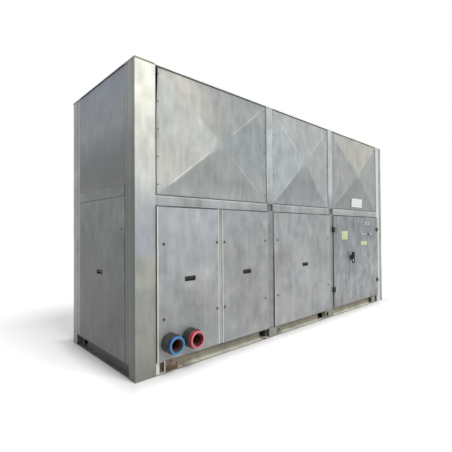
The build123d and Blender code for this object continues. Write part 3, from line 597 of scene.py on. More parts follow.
@dataclass
class Dressing:
    """A new material's tree, its shader and the place that its patterns read."""

    material: Material
    tree: Tree
    shader: bpy.types.Node
    place: Socket

    @classmethod
    def start(cls, name: str, shift: Place = (0, 0, 0)) -> "Dressing":
        """A material with a Principled BSDF, and object coordinates moved by a shift."""
        material = bpy.data.materials.new(name)
        material.use_nodes = True
        tree = Tree(material.node_tree)
        shader = material.node_tree.nodes["Principled BSDF"]
        coordinates = tree.add("ShaderNodeTexCoord")
        mapping = tree.add("ShaderNodeMapping")
        tree.feed(mapping.inputs["Vector"], coordinates.outputs["Object"])
        mapping.inputs["Location"].default_value = shift
        return cls(material, tree, shader, mapping.outputs[0])

    @property
    def fixed_place(self) -> Socket:
        """Object coordinates with no shift, for patterns that follow the piece's own sizes."""
        coordinates = self.tree.add("ShaderNodeTexCoord")
        return coordinates.outputs["Object"]

    @property
    def height(self) -> Socket:
        """Height above the ground."""
        apart = self.tree.add("ShaderNodeSeparateXYZ")
        self.tree.feed(apart.inputs[0], self.fixed_place)
        return apart.outputs[2]

    def bump(self, height: Socket, strength: float, distance: float) -> None:
        """Feeds a height to the shader's normal."""
        node = self.tree.add("ShaderNodeBump")
        node.inputs["Strength"].default_value = strength
        node.inputs["Distance"].default_value = distance
        self.tree.feed(node.inputs["Height"], height)
        self.tree.feed(self.shader.inputs["Normal"], node.outputs[0])


def graded(d: Dressing, height: Socket, stops: tuple[tuple[float, Colour], ...]) -> Socket:
    """Colour that changes with height through the stops, each a height and a colour."""
    t = d.tree
    low, high = stops[0][0], stops[-1][0]
    rise = t.add("ShaderNodeMapRange")
    for socket, given in zip(rise.inputs, (height, low, high, 0.0, 1.0)):
        t.feed(socket, given)
    ramp = t.add("ShaderNodeValToRGB")
    t.feed(ramp.inputs[0], rise.outputs[0])
    elements = ramp.color_ramp.elements
    while len(elements) < len(stops):
        elements.new(0.5)
    for element, (z, colour) in zip(elements, stops):
        element.position = (z - low) / (high - low)
        element.color = (*colour, 1)
    return ramp.outputs[0]


@dataclass(frozen=True)
class Border:
    """Where a panel's top joint with its painted shade, its low-X edge with its painted highlight and its face lie."""

    left: float
    top: float
    face: float
    # How strong the painted shade in the joint, the painted highlight on the edge and the painted shade on the returns
    # are.
    joint_shade: float = 0.8
    edge_highlight: float = 0.45
    return_shade: float = 0.8
    edge: float = 0.006
    return_top: float = 9.0


@dataclass(frozen=True)
class SheetFinish:
    """Raw aluminium sheet: a mottled grey with streaks, scratches and dirt near the ground, and where given, painted
    shade and painted highlights along a panel's borders.
    """

    colour: Colour = shade(160, 164, 165)
    cloud: float = 0.24
    patch: float = 0.36
    streak: float = 0.2
    tint: float = 0.7
    grime: float = 0.3
    grime_top: float = 0.32
    scratches: float = 0.25
    metallic: float = 0.3
    roughness: float = 0.5
    shift: Place = (0, 0, 0)
    toned: bool = False
    border: Border | None = None
    stops: tuple[tuple[float, Colour], ...] = ()
    # Darker grade for the end face, painted shade, and bands that scale it across Y.
    shaded_end_stops: tuple[tuple[float, Colour], ...] = ()
    end_bands: tuple[tuple[float, float], ...] = ()

    def base(self, d: Dressing) -> Socket | Colour:
        """Colour before the mottle: plain, from the mesh, or graded by height, with a darker grade off the service
        face as painted shade on the end, times lighter and darker bands across Y.
        """
        t = d.tree
        if self.toned:
            return t.add("ShaderNodeAttribute", attribute_name="tone").outputs["Color"]
        if not self.stops:
            return self.colour
        apart = t.add("ShaderNodeSeparateXYZ")
        t.feed(apart.inputs[0], d.fixed_place)
        front = graded(d, apart.outputs[2], self.stops)
        if not self.shaded_end_stops:
            return front
        side = graded(d, apart.outputs[2], self.shaded_end_stops)
        if self.end_bands:
            bands = graded(d, apart.outputs[1], tuple((y, (v / 2,) * 3) for y, v in self.end_bands))
            side = t.mixed(1.0, side, t.mixed(1.0, bands, (2.0, 2.0, 2.0), "MULTIPLY"), "MULTIPLY")
        on_face = t.between(apart.outputs[1], SERVICE_FACE + 0.0003, SERVICE_FACE + 0.0015, 1.0, 0.0)
        return t.mixed(on_face, side, front)

    def material(self, name: str) -> Material:
        """Builds the material."""
        d = Dressing.start(name, self.shift)
        t = d.tree
        mottle = t.group(EFFECTS.mottle, Place=d.place, Cloud=self.cloud, Patch=self.patch,
                         Streak=self.streak, Tint=self.tint)
        colour = t.mixed(1.0, self.base(d), mottle.outputs["Colour"], "MULTIPLY")
        marks = t.group(EFFECTS.scratches, Place=d.place, Amount=self.scratches)
        colour = t.mixed(marks.outputs["Mask"], colour, shade(205, 207, 206))
        dirt = t.group(EFFECTS.grime, Place=d.place, Top=self.grime_top, Amount=self.grime)
        colour = t.mixed(dirt.outputs["Mask"], colour, shade(112, 106, 94))
        # Painted light: painted shade along the top joint and on the returns, faded above return_top, and a painted
        # highlight along the low-X edge.
        if self.border:
            lines = t.group(EFFECTS.border, Place=d.fixed_place, Left=self.border.left, Top=self.border.top,
                            Face=self.border.face, Edge=self.border.edge)
            fading = t.between(t.noise(d.place, 3.0, 1.0), 0.35, 0.6, 0.45, 1.0)
            dark = t.math("MULTIPLY", t.math("MULTIPLY", lines.outputs["Joint"], fading), self.border.joint_shade)
            top = self.border.return_top
            side = t.math("MULTIPLY", lines.outputs["Return"], t.between(d.height, top, top + 0.1, 1.0, 0.12))
            dark = t.math("MAXIMUM", dark, t.math("MULTIPLY", side, self.border.return_shade))
            light = t.math("MULTIPLY", lines.outputs["Edge"], self.border.edge_highlight)
            colour = t.mixed(light, colour, shade(228, 228, 220))
            colour = t.mixed(dark, colour, shade(34, 37, 39))
        t.feed(d.shader.inputs["Base Color"], colour)
        rough = t.math("ADD", mottle.outputs["Rough"], self.roughness)
        t.feed(d.shader.inputs["Roughness"], t.math("ADD", rough, t.math("MULTIPLY", dirt.outputs["Mask"], 0.3)))
        d.shader.inputs["Metallic"].default_value = self.metallic
        d.bump(mottle.outputs["Height"], 0.12, 0.001)
        return d.material


@dataclass(frozen=True)
class SteelFinish:
    """Dull painted or galvanised steel with rust and dirt, and where given, a painted highlight along one edge."""

    colour: Colour
    stops: tuple[tuple[float, Colour], ...] = ()
    rust: float = 0.35
    rust_scale: float = 9.0
    grime: float = 0.6
    grime_top: float = 0.15
    metallic: float = 0.3
    roughness: float = 0.6
    shift: Place = (0, 0, 0)
    highlight_edge: float | None = None

    def material(self, name: str) -> Material:
        """Builds the material."""
        d = Dressing.start(name, self.shift)
        t = d.tree
        mottle = t.group(EFFECTS.mottle, Place=d.place, Cloud=0.3, Patch=0.35, Streak=0.2, Tint=1.0)
        plain = graded(d, d.height, self.stops) if self.stops else self.colour
        colour = t.mixed(1.0, plain, mottle.outputs["Colour"], "MULTIPLY")
        dirt = t.group(EFFECTS.grime, Place=d.place, Top=self.grime_top, Amount=self.grime)
        colour = t.mixed(dirt.outputs["Mask"], colour, shade(120, 110, 92))
        rust = t.group(EFFECTS.rust, Place=d.place, Scale=self.rust_scale, Amount=self.rust)
        colour = t.mixed(rust.outputs["Mask"], colour, rust.outputs["Colour"])
        # A painted highlight: a bright band along the low-X edge at highlight_edge.
        if self.highlight_edge is not None:
            lines = t.group(EFFECTS.border, Place=d.fixed_place, Left=self.highlight_edge, Edge=0.009)
            colour = t.mixed(lines.outputs["Edge"], colour, shade(236, 232, 222))
        t.feed(d.shader.inputs["Base Color"], colour)
        t.feed(d.shader.inputs["Metallic"], t.between(rust.outputs["Mask"], 0.0, 1.0, self.metallic, 0.0))
        t.feed(d.shader.inputs["Roughness"], t.between(rust.outputs["Mask"], 0.0, 1.0, self.roughness, 0.88))
        d.bump(rust.outputs["Height"], 0.5, 0.0012)
        return d.material


@dataclass(frozen=True)
class MouldedFinish:
    """Plastic, rubber or foam with a fine grain and a little dust."""

    colour: Colour
    dust: Colour = shade(150, 148, 140)
    fade: float = 0.15
    grain: float = 900.0
    grain_height: float = 0.15
    roughness: float = 0.45
    shift: Place = (0, 0, 0)

    def material(self, name: str) -> Material:
        """Builds the material."""
        d = Dressing.start(name, self.shift)
        t = d.tree
        grain = t.group(EFFECTS.moulding, Place=d.place, Scale=self.grain, Fade=self.fade)
        t.feed(d.shader.inputs["Base Color"], t.mixed(grain.outputs["Fade"], self.colour, self.dust))
        t.feed(d.shader.inputs["Roughness"], t.math("ADD", grain.outputs["Fade"], self.roughness))
        d.bump(grain.outputs["Height"], self.grain_height, 0.0005)
        return d.material


# The housing's sheet metal


@dataclass
class BaseFrame:
    """Channels on the ground, the feet under the posts, and the floor."""

    # Up the front channels: the steel's tan grey, with painted shade on the lower flange's edge, a painted highlight
    # on its top (0.0076 to 0.0095) and painted shade under the panels (0.085 to 0.0925).
    web_light_and_shade_stops: tuple[tuple[float, Colour], ...] = (
        (0.0, shade(112, 110, 100)), (0.0062, shade(104, 102, 92)), (0.0076, shade(238, 236, 226)),
        (0.0095, shade(232, 229, 216)), (0.014, shade(176, 170, 154)), (0.055, shade(164, 158, 142)),
        (0.085, shade(98, 92, 78)), (0.0925, shade(84, 80, 68)), (0.1, shade(150, 146, 134)))
    # End channels' grade: the same steel painted darker as painted shade on the end, with a darker band of painted
    # shade under the panels.
    shaded_end_stops: tuple[tuple[float, Colour], ...] = (
        (0.0, shade(104, 105, 103)), (0.0062, shade(92, 93, 91)), (0.0076, shade(126, 127, 124)),
        (0.0095, shade(120, 121, 118)), (0.014, shade(98, 98, 96)), (0.055, shade(94, 94, 93)),
        (0.08, shade(60, 61, 60)), (0.0925, shade(46, 47, 47)), (0.1, shade(84, 85, 84)))
    near_foot_stops: tuple[tuple[float, Colour], ...] = (
        (0.0, shade(90, 76, 52)), (0.03, shade(98, 80, 56)), (0.05, shade(136, 120, 108)),
        (0.1, shade(150, 138, 128)))
    foot: Colour = shade(152, 154, 148)
    near_foot: Colour = shade(134, 116, 96)
    slot_edge: float = 0.072
    edge: float = 0.0015

    def build(self) -> None:
        """Makes the rails, the feet and the floor."""
        steel = SteelFinish(self.foot, self.web_light_and_shade_stops, rust=0.3, rust_scale=4.0, grime=0.1).material("base channel")
        # The end channels take the darker grade: painted shade.
        dark = SteelFinish(self.foot, self.shaded_end_stops, rust=0.15, rust_scale=4.0, grime=0.1).material("end channel")
        for name in ("base_rail_front", "base_rail_back"):
            softened(f"{name}_channel", name, steel, width=self.edge)
        for name in ("base_rails_ends", "base_cross_members"):
            softened(f"{name}_channel", name, dark, width=self.edge)
        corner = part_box("foot_plates")[0].x + 0.25
        feet = SteelFinish(self.foot, rust=0.25).material("foot plate")
        # The rusty near foot plate has a painted highlight along the edge slot_edge past its low-X side.
        rusty = SteelFinish(self.near_foot, self.near_foot_stops, rust=0.5, rust_scale=36.0, grime=0.2,
                            shift=(0.3, 0.1, 0.2), highlight_edge=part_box("foot_plates")[0].x + self.slot_edge)
        softened("foot_plates_clean", "foot_plates", feet, width=self.edge,
                 keep=lambda p: p.x > corner or p.y > 0)
        softened("foot_plate_rusty", "foot_plates", rusty.material("rusty plate"), width=self.edge,
                 keep=lambda p: p.x < corner and p.y < 0)
        floor = SteelFinish(shade(120, 120, 114), rust=0.2).material("floor sheet")
        softened("floor_sheet", "floor_pan", floor, width=self.edge)


@dataclass
class Posts:
    """Corner and middle posts."""

    # Near post's front: a painted sheen, grey low down, bluish near the middle and bright cream at the top.
    near_sheen_stops: tuple[tuple[float, Colour], ...] = (
        (0.0, shade(134, 135, 130)), (0.35, shade(152, 153, 146)), (0.86, shade(162, 163, 156)),
        (0.9, shade(160, 165, 170)), (1.08, shade(162, 167, 172)), (1.3, shade(186, 190, 190)),
        (1.6, shade(206, 207, 202)),
        (1.86, shade(218, 218, 210)), (2.0, shade(240, 238, 224)), (2.3, shade(250, 247, 235)))
    middle_stops: tuple[tuple[float, Colour], ...] = (
        (0.1, shade(146, 149, 148)), (1.2, shade(144, 147, 147)), (1.34, shade(150, 154, 155)),
        (1.5, shade(184, 189, 191)), (2.3, shade(192, 198, 200)))
    # Near post's end face: darker as painted shade, lighter towards the top.
    near_end_stops: tuple[tuple[float, Colour], ...] = (
        (0.0, shade(104, 107, 102)), (0.9, shade(106, 109, 105)), (1.4, shade(106, 110, 107)),
        (1.7, shade(118, 121, 118)), (2.0, shade(140, 144, 142)), (2.3, shade(150, 152, 154)))
    near_end_bands: tuple[tuple[float, float], ...] = (
        (-0.61, 0.94), (-0.595, 0.9), (-0.56, 0.92), (-0.548, 1.12), (-0.53, 1.02), (-0.516, 1.16),
        (-0.5, 0.86), (-0.476, 0.9), (-0.466, 1.2), (-0.452, 1.1))
    highlight_reach: float = 0.045
    edge: float = 0.002

    def build(self) -> None:
        """Makes the near post with its painted sheen and painted shade on its end face, the other posts and the
        splices.
        """
        near = SheetFinish(stops=self.near_sheen_stops, shaded_end_stops=self.near_end_stops, end_bands=self.near_end_bands,
                           cloud=0.14, patch=0.3, streak=0.2, grime=0.25).material("near post sheet")
        plain = SheetFinish(colour=shade(156, 160, 160), shift=(3, 1, 0)).material("post sheet")
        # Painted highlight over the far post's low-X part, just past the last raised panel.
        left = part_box("upper_panel_3")[1].x + self.highlight_reach
        far = SheetFinish(colour=shade(160, 164, 163), shift=(3, 1, 0),
                          border=Border(left, 9.0, SERVICE_FACE, 0.0, 0.75, 0.0, 0.05)).material("far post sheet")
        softened("corner_post_near", "corner_posts_front", near, width=self.edge,
                 keep=lambda p: p.x < 0)
        softened("corner_post_far", "corner_posts_front", far, width=self.edge,
                 keep=lambda p: p.x > 0)
        softened("corner_posts_rear", "corner_posts_back", plain, width=self.edge)
        # Painted shade on the returns behind the service face, which darkens the splice recesses.
        middle = SheetFinish(stops=self.middle_stops, shift=(5, 2, 1), grime=0.45,
                             border=Border(-9.0, 9.0, SERVICE_FACE, 0.0, 0.0, 0.35)).material("middle post sheet")
        softened("middle_posts_service", "middle_posts_front", middle, width=self.edge)
        softened("middle_posts_rear", "middle_posts_back", plain, width=self.edge)


@dataclass
class Rails:
    """Channels between the storeys and bars under the roof and the plenum floor."""

    edge: float = 0.0015
    # Up the front rails: painted shade along the bottom and top edges where the panels meet them, and painted
    # highlights on the rounded edges just inside.
    stops: tuple[tuple[float, Colour], ...] = (
        (1.246, shade(66, 70, 71)), (1.2495, shade(84, 88, 89)), (1.252, shade(176, 180, 180)),
        (1.26, shade(162, 166, 168)), (1.31, shade(166, 170, 172)), (1.316, shade(184, 187, 186)),
        (1.3235, shade(186, 189, 188)), (1.326, shade(72, 76, 77)), (1.33, shade(60, 64, 65)))

    def build(self) -> None:
        """Makes the rails and the hidden bars."""
        front = SheetFinish(stops=self.stops, shift=(7, 0, 2)).material("rail sheet")
        # End rails: the sheet painted darker as painted shade on the end.
        end = SheetFinish(colour=shade(117, 122, 119), shift=(2, 4, 0), patch=0.6).material("end rail sheet")
        inner = SteelFinish(shade(140, 144, 146), rust=0.1, metallic=0.5).material("zinc bar")
        softened("mid_rails_service", "mid_rails_front", front, width=self.edge)
        softened("mid_rails_rear", "mid_rails_back", front, width=self.edge)
        softened("mid_rails_ends", "mid_rails_end", end, width=self.edge)
        for name in ("top_rails_long", "top_rails_short", "plenum_bearers", "plenum_floor"):
            softened(f"{name}_zinc", name, inner, width=self.edge)


@dataclass(frozen=True)
class Facets:
    """Painted light on a raised panel: the shade of each of its four slopes as light falls on it, and how bright the
    painted highlights on its four creases are.
    """

    left: Colour
    top: tuple[Colour, Colour]
    right: Colour
    bottom: Colour
    rim: float = 0.1
    low_left: float = 0.2
    low_right: float = 0.1
    high_left: float = 0.1
    high_right: float = 0.15
    left_gap: tuple[float, float] = (0.003, 0.003)


@dataclass
class UpperStorey:
    """Raised front panels, the blank label and the flat end panels."""

    # Each panel's painted light: shades of its left, top (left and right part), right and bottom slopes, how much
    # lighter its bottom edge is, the painted highlights on its four creases, and its left gap.
    facets: tuple[Facets, ...] = (
        Facets(shade(194, 195, 190), (shade(190, 188, 182), shade(160, 163, 163)), shade(159, 164, 165),
               shade(155, 159, 159), 0.16, 0.5, 0.22, 0.0, 0.34, (0.010, 0.022)),
        Facets(shade(178, 183, 185), (shade(178, 182, 183), shade(172, 175, 175)), shade(168, 172, 173),
               shade(148, 152, 154), 0.08, 0.36, 0.16, 0.26, 0.28),
        Facets(shade(163, 165, 163), (shade(178, 178, 170), shade(182, 180, 172)), shade(157, 161, 162),
               shade(144, 147, 148), 0.02, 0.28, 0.2, 0.2, 0.28),
    )
    # End panels' grade: darker than the front as painted shade, lighter and bluer towards the top.
    shaded_end_stops: tuple[tuple[float, Colour], ...] = (
        (1.4, shade(112, 114, 114)), (1.5, shade(104, 107, 107)), (1.64, shade(108, 111, 113)),
        (1.78, shade(122, 126, 130)), (1.9, shade(138, 143, 148)), (2.3, shade(132, 138, 150)))
    columns: int = 150
    rows: int = 120
    set_back: float = 0.007
    top_gap: float = 0.006
    return_depth: float = 0.02
    flat_share: float = 0.06
    flange_tint: Colour = (0.9, 0.86, 0.88)
    soft: float = 11.0
    crisp: float = 46.0
    rivet_rows: int = 5
    rivet_inset: float = 0.022

    def panel_skin(self, node: str, facets: Facets) -> tuple[Skin, Array]:
        """Skin and painted light and shade of one raised panel.

        With u and v from -1 to 1 across the panel, each slope's rise is its distance from its own side,
        1 + u, 1 - u, 1 + v or 1 - v. The height is their soft minimum, -log(sum exp(-k d)) / k, where k is
        large along the creases and small near the corners and the middle, so that the folds fade there.

        Args:
            node: The panel's node.
            facets: Its painted shades.

        Returns:
            The closed skin and a colour for each point.
        """
        low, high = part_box(node)
        rim = high.y - 0.025 + self.set_back
        u, v = np.meshgrid(np.linspace(-1, 1, self.columns), np.linspace(-1, 1, self.rows), indexing="ij")
        sides = np.stack([1 + u, 1 - v, 1 - u, 1 + v])
        nearest = sides.min(0)
        window = smooth_step(0.12, 0.26, nearest) * (1 - smooth_step(0.72, 0.88, nearest))
        sharpness = self.soft + (self.crisp - self.soft) * window
        rise = -np.log(np.exp(-sharpness * (sides - nearest)).sum(0)) / sharpness + nearest
        rise = np.clip(rise / (1 - self.flat_share), 0, 1)
        rise = rise * (1 - 0.12 * rise ** 6)
        blend = 60 - 52 * smooth_step(0.7, 0.98, nearest)
        share = np.exp(-blend * (sides - nearest))
        share /= share.sum(0)
        # Painted light: each slope gets its own shade, as light falls on it.
        plain = np.array([facets.left, facets.top[0], facets.right, facets.bottom])
        shades = np.broadcast_to(plain[:, None, None], (4, *u.shape, 3)).copy()
        across = smooth_step(-0.75, 0.35, u)[..., None]
        shades[1] = (1 - across) * facets.top[0] + across * facets.top[1]
        shades[3] *= 1 + facets.rim * (1 - smooth_step(0.02, 0.3, 1 + v))[..., None]
        colour = np.einsum("kij,kijc->ijc", share, shades)
        # Painted highlights along the creases, fading near the corners and the middle.
        mark = np.exp(-((sides[:, None] - sides[None]) / 0.018) ** 2)
        fade = window * (0.55 + 0.45 * (1 - nearest))
        for (first, second), strength in zip(((0, 3), (2, 3), (0, 1), (2, 1)),
                                             (facets.low_left, facets.low_right, facets.high_left,
                                              facets.high_right)):
            pair = (share[first] + share[second]) * mark[first, second]
            colour = colour * (1 + strength * 1.6 * pair * fade)[..., None]
        flange = smooth_step(0.026, 0.036, 1 + u)[..., None]
        colour = colour * (flange + (1 - flange) * np.array(self.flange_tint))
        wide_gap = facets.left_gap[0] + (facets.left_gap[1] - facets.left_gap[0]) * smooth_step(0.2, 1, v)
        x0 = low.x + wide_gap
        x = x0 + (high.x - 0.001 - x0) * (u + 1) / 2
        z = low.z + (high.z - self.top_gap - low.z) * (v + 1) / 2
        y = rim - (rim - low.y) * rise
        points = np.stack([x, y, z], -1)
        index = np.arange(self.columns * self.rows).reshape(self.columns, self.rows)
        loop = np.concatenate([index[:-1, 0], index[-1, :-1], index[:0:-1, -1], index[0, :0:-1]])
        flat = points.reshape(-1, 3)
        turn = flat[loop] + (0, 0.002, 0)
        back = flat[loop] + (0, self.return_depth, 0)
        count, around = len(flat), len(loop)
        ring = np.arange(around)
        after = np.roll(ring, -1)
        edge = np.stack([loop, loop[after], count + after, count + ring], -1)
        wall = np.stack([ring, after, around + after, around + ring], -1) + count
        sheet = grid_faces(self.columns, self.rows, wrap_columns=False)
        faces = [sheet, edge, wall, count + around + ring[None]]
        # Painted shade: the bottom row where the panel meets the rail, and the returns in the gaps round the panel at
        # a fifth and a tenth of the face's colour.
        colour[:, 0] *= 0.4
        colours = colour.reshape(-1, 3)
        return (Skin(np.vstack([flat, turn, back]), faces),
                np.vstack([colours, colours[loop] * 0.2, colours[loop] * 0.1]))

    def rivets(self) -> None:
        """Makes the round heads down both sides of each raised panel, their rows spread evenly in height."""
        at = []
        for number in range(1, len(self.facets) + 1):
            low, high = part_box(f"upper_panel_{number}")
            rows = np.linspace(low.z + 0.077, high.z - 0.053, self.rivet_rows)
            for x in (low.x + self.rivet_inset, high.x - self.rivet_inset):
                y = high.y - 0.025 + self.set_back - self.rivet_inset / 26
                at.extend((x, y, z) for z in rows)
        head = lathe([(0.0001, 0), (0.0065, 0), (0.0062, 0.0015), (0.004, 0.003), (0.0001, 0.0034)], 16)
        zinc = SteelFinish(shade(104, 104, 106), rust=0.2, metallic=0.3, roughness=0.5, grime=0.0)
        piece_from_skin("raised_panel_rivets", head.placed(Side.FRONT).copies(np.array(at)), Body.HOUSING,
                        Slot.ZINC, zinc.material("rivet head"))

    def build(self) -> None:
        """Makes the three raised panels, the label and the end panels."""
        sheet = SheetFinish(toned=True, cloud=0.18, patch=0.3, streak=0.24, grime=0.0,
                            scratches=0.15).material("raised panel sheet")
        for number, facets in enumerate(self.facets, 1):
            node = f"upper_panel_{number}"
            skin, colours = self.panel_skin(node, facets)
            piece = piece_from_skin(f"raised_panel_{number}", skin, Body.HOUSING, Slot.SHEET, sheet,
                                    colours=colours)
            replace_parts(piece, node)
        self.rivets()
        white = MouldedFinish(shade(232, 236, 232), fade=0.06, roughness=0.35).material("white plate")
        softened("blank_plate", "blank_label", white, width=0.0008)
        end = SheetFinish(stops=self.shaded_end_stops, shift=(1, 6, 3), grime=0.0).material("upper end sheet")
        softened("end_panels_upper", "upper_panels_end", end, width=0.002)


def smooth_step(low: float, high: float, value: Array) -> Array:
    """Smooth step from 0 to 1: t t (3 - 2 t) with t the clamped share of the way from low to high."""
    t = np.clip((value - low) / (high - low), 0, 1)
    return t * t * (3 - 2 * t)


@dataclass
class Coils:
    """Finned coils behind flat frames on the back's upper storey."""

    pitch: float = 0.004
    fin: float = 0.0006
    fin_depth: float = 0.014
    tube: float = 0.0048
    tube_pitch: float = 0.0375

    def build(self) -> None:
        """Makes the fins, the tubes behind them, a dark block that stands for the shaded depth of the coil as painted
        shade, and the frames.
        """
        low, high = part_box("condenser_coils")
        window = 0.012
        fins, tubes, cores = [], [], []
        for number in (1, 2, 3):
            bay_low, bay_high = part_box(f"upper_panel_{number}")
            x = np.arange(bay_low.x + window, bay_high.x - window, self.pitch)
            ones = np.ones_like(x)
            front = np.stack([x, ones * (high.y - self.fin_depth), ones * low.z], -1)
            back = np.stack([x + self.fin, ones * high.y, ones * high.z], -1)
            fins.append(boxes(front, back))
            z = np.arange(low.z + self.tube_pitch, high.z - self.tube_pitch / 2, self.tube_pitch)
            places = np.stack([np.full_like(z, bay_low.x), np.full_like(z, high.y - 0.012), z], -1)
            tubes.append(rod(bay_high.x - bay_low.x, self.tube).copies(places))
            cores.append(boxes([(bay_low.x, low.y, low.z)], [(bay_high.x, high.y - self.fin_depth - 0.006, high.z)]))
        foil = SheetFinish(colour=shade(150, 154, 156), cloud=0.2, patch=0.15, streak=0.1, grime=0.0,
                           metallic=0.7, roughness=0.5).material("fin foil")
        copper = SteelFinish(shade(150, 98, 66), rust=0.1, metallic=0.8, roughness=0.45).material("copper tube")
        # Painted shade: a dark block fills the coil's depth behind the fins.
        core = MouldedFinish(shade(46, 48, 48), roughness=0.8).material("coil core")
        piece = piece_from_skin("coil_fin_rows", Skin.joined(fins), Body.HOUSING, Slot.FINS, foil)
        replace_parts(piece, "condenser_coils")
        piece_from_skin("coil_tubes", Skin.joined(tubes), Body.HOUSING, Slot.FINS, copper)
        piece_from_skin("coil_cores", Skin.joined(cores), Body.HOUSING, Slot.FINS, core)
        plain = SheetFinish(colour=shade(160, 163, 163), shift=(4, 8, 0), grime=0.0).material("coil frame sheet")
        softened("coil_frame_sheets", "coil_frames", plain, width=0.001)


@dataclass(frozen=True)
class PanelPlace:
    """An access panel's side, its span along it, its face, its height and its fasteners' places."""

    side: Side
    span: tuple[float, float]
    face: float
    height: tuple[float, float]
    insets: tuple[float, float]
    rows: tuple[float, float]

    def spot(self, along: float, z: float) -> Place:
        """The place at a distance along the side and a height, on the panel's face."""
        if self.side in (Side.FRONT, Side.BACK):
            return (along, self.face, z)
        return (self.face, along, z)


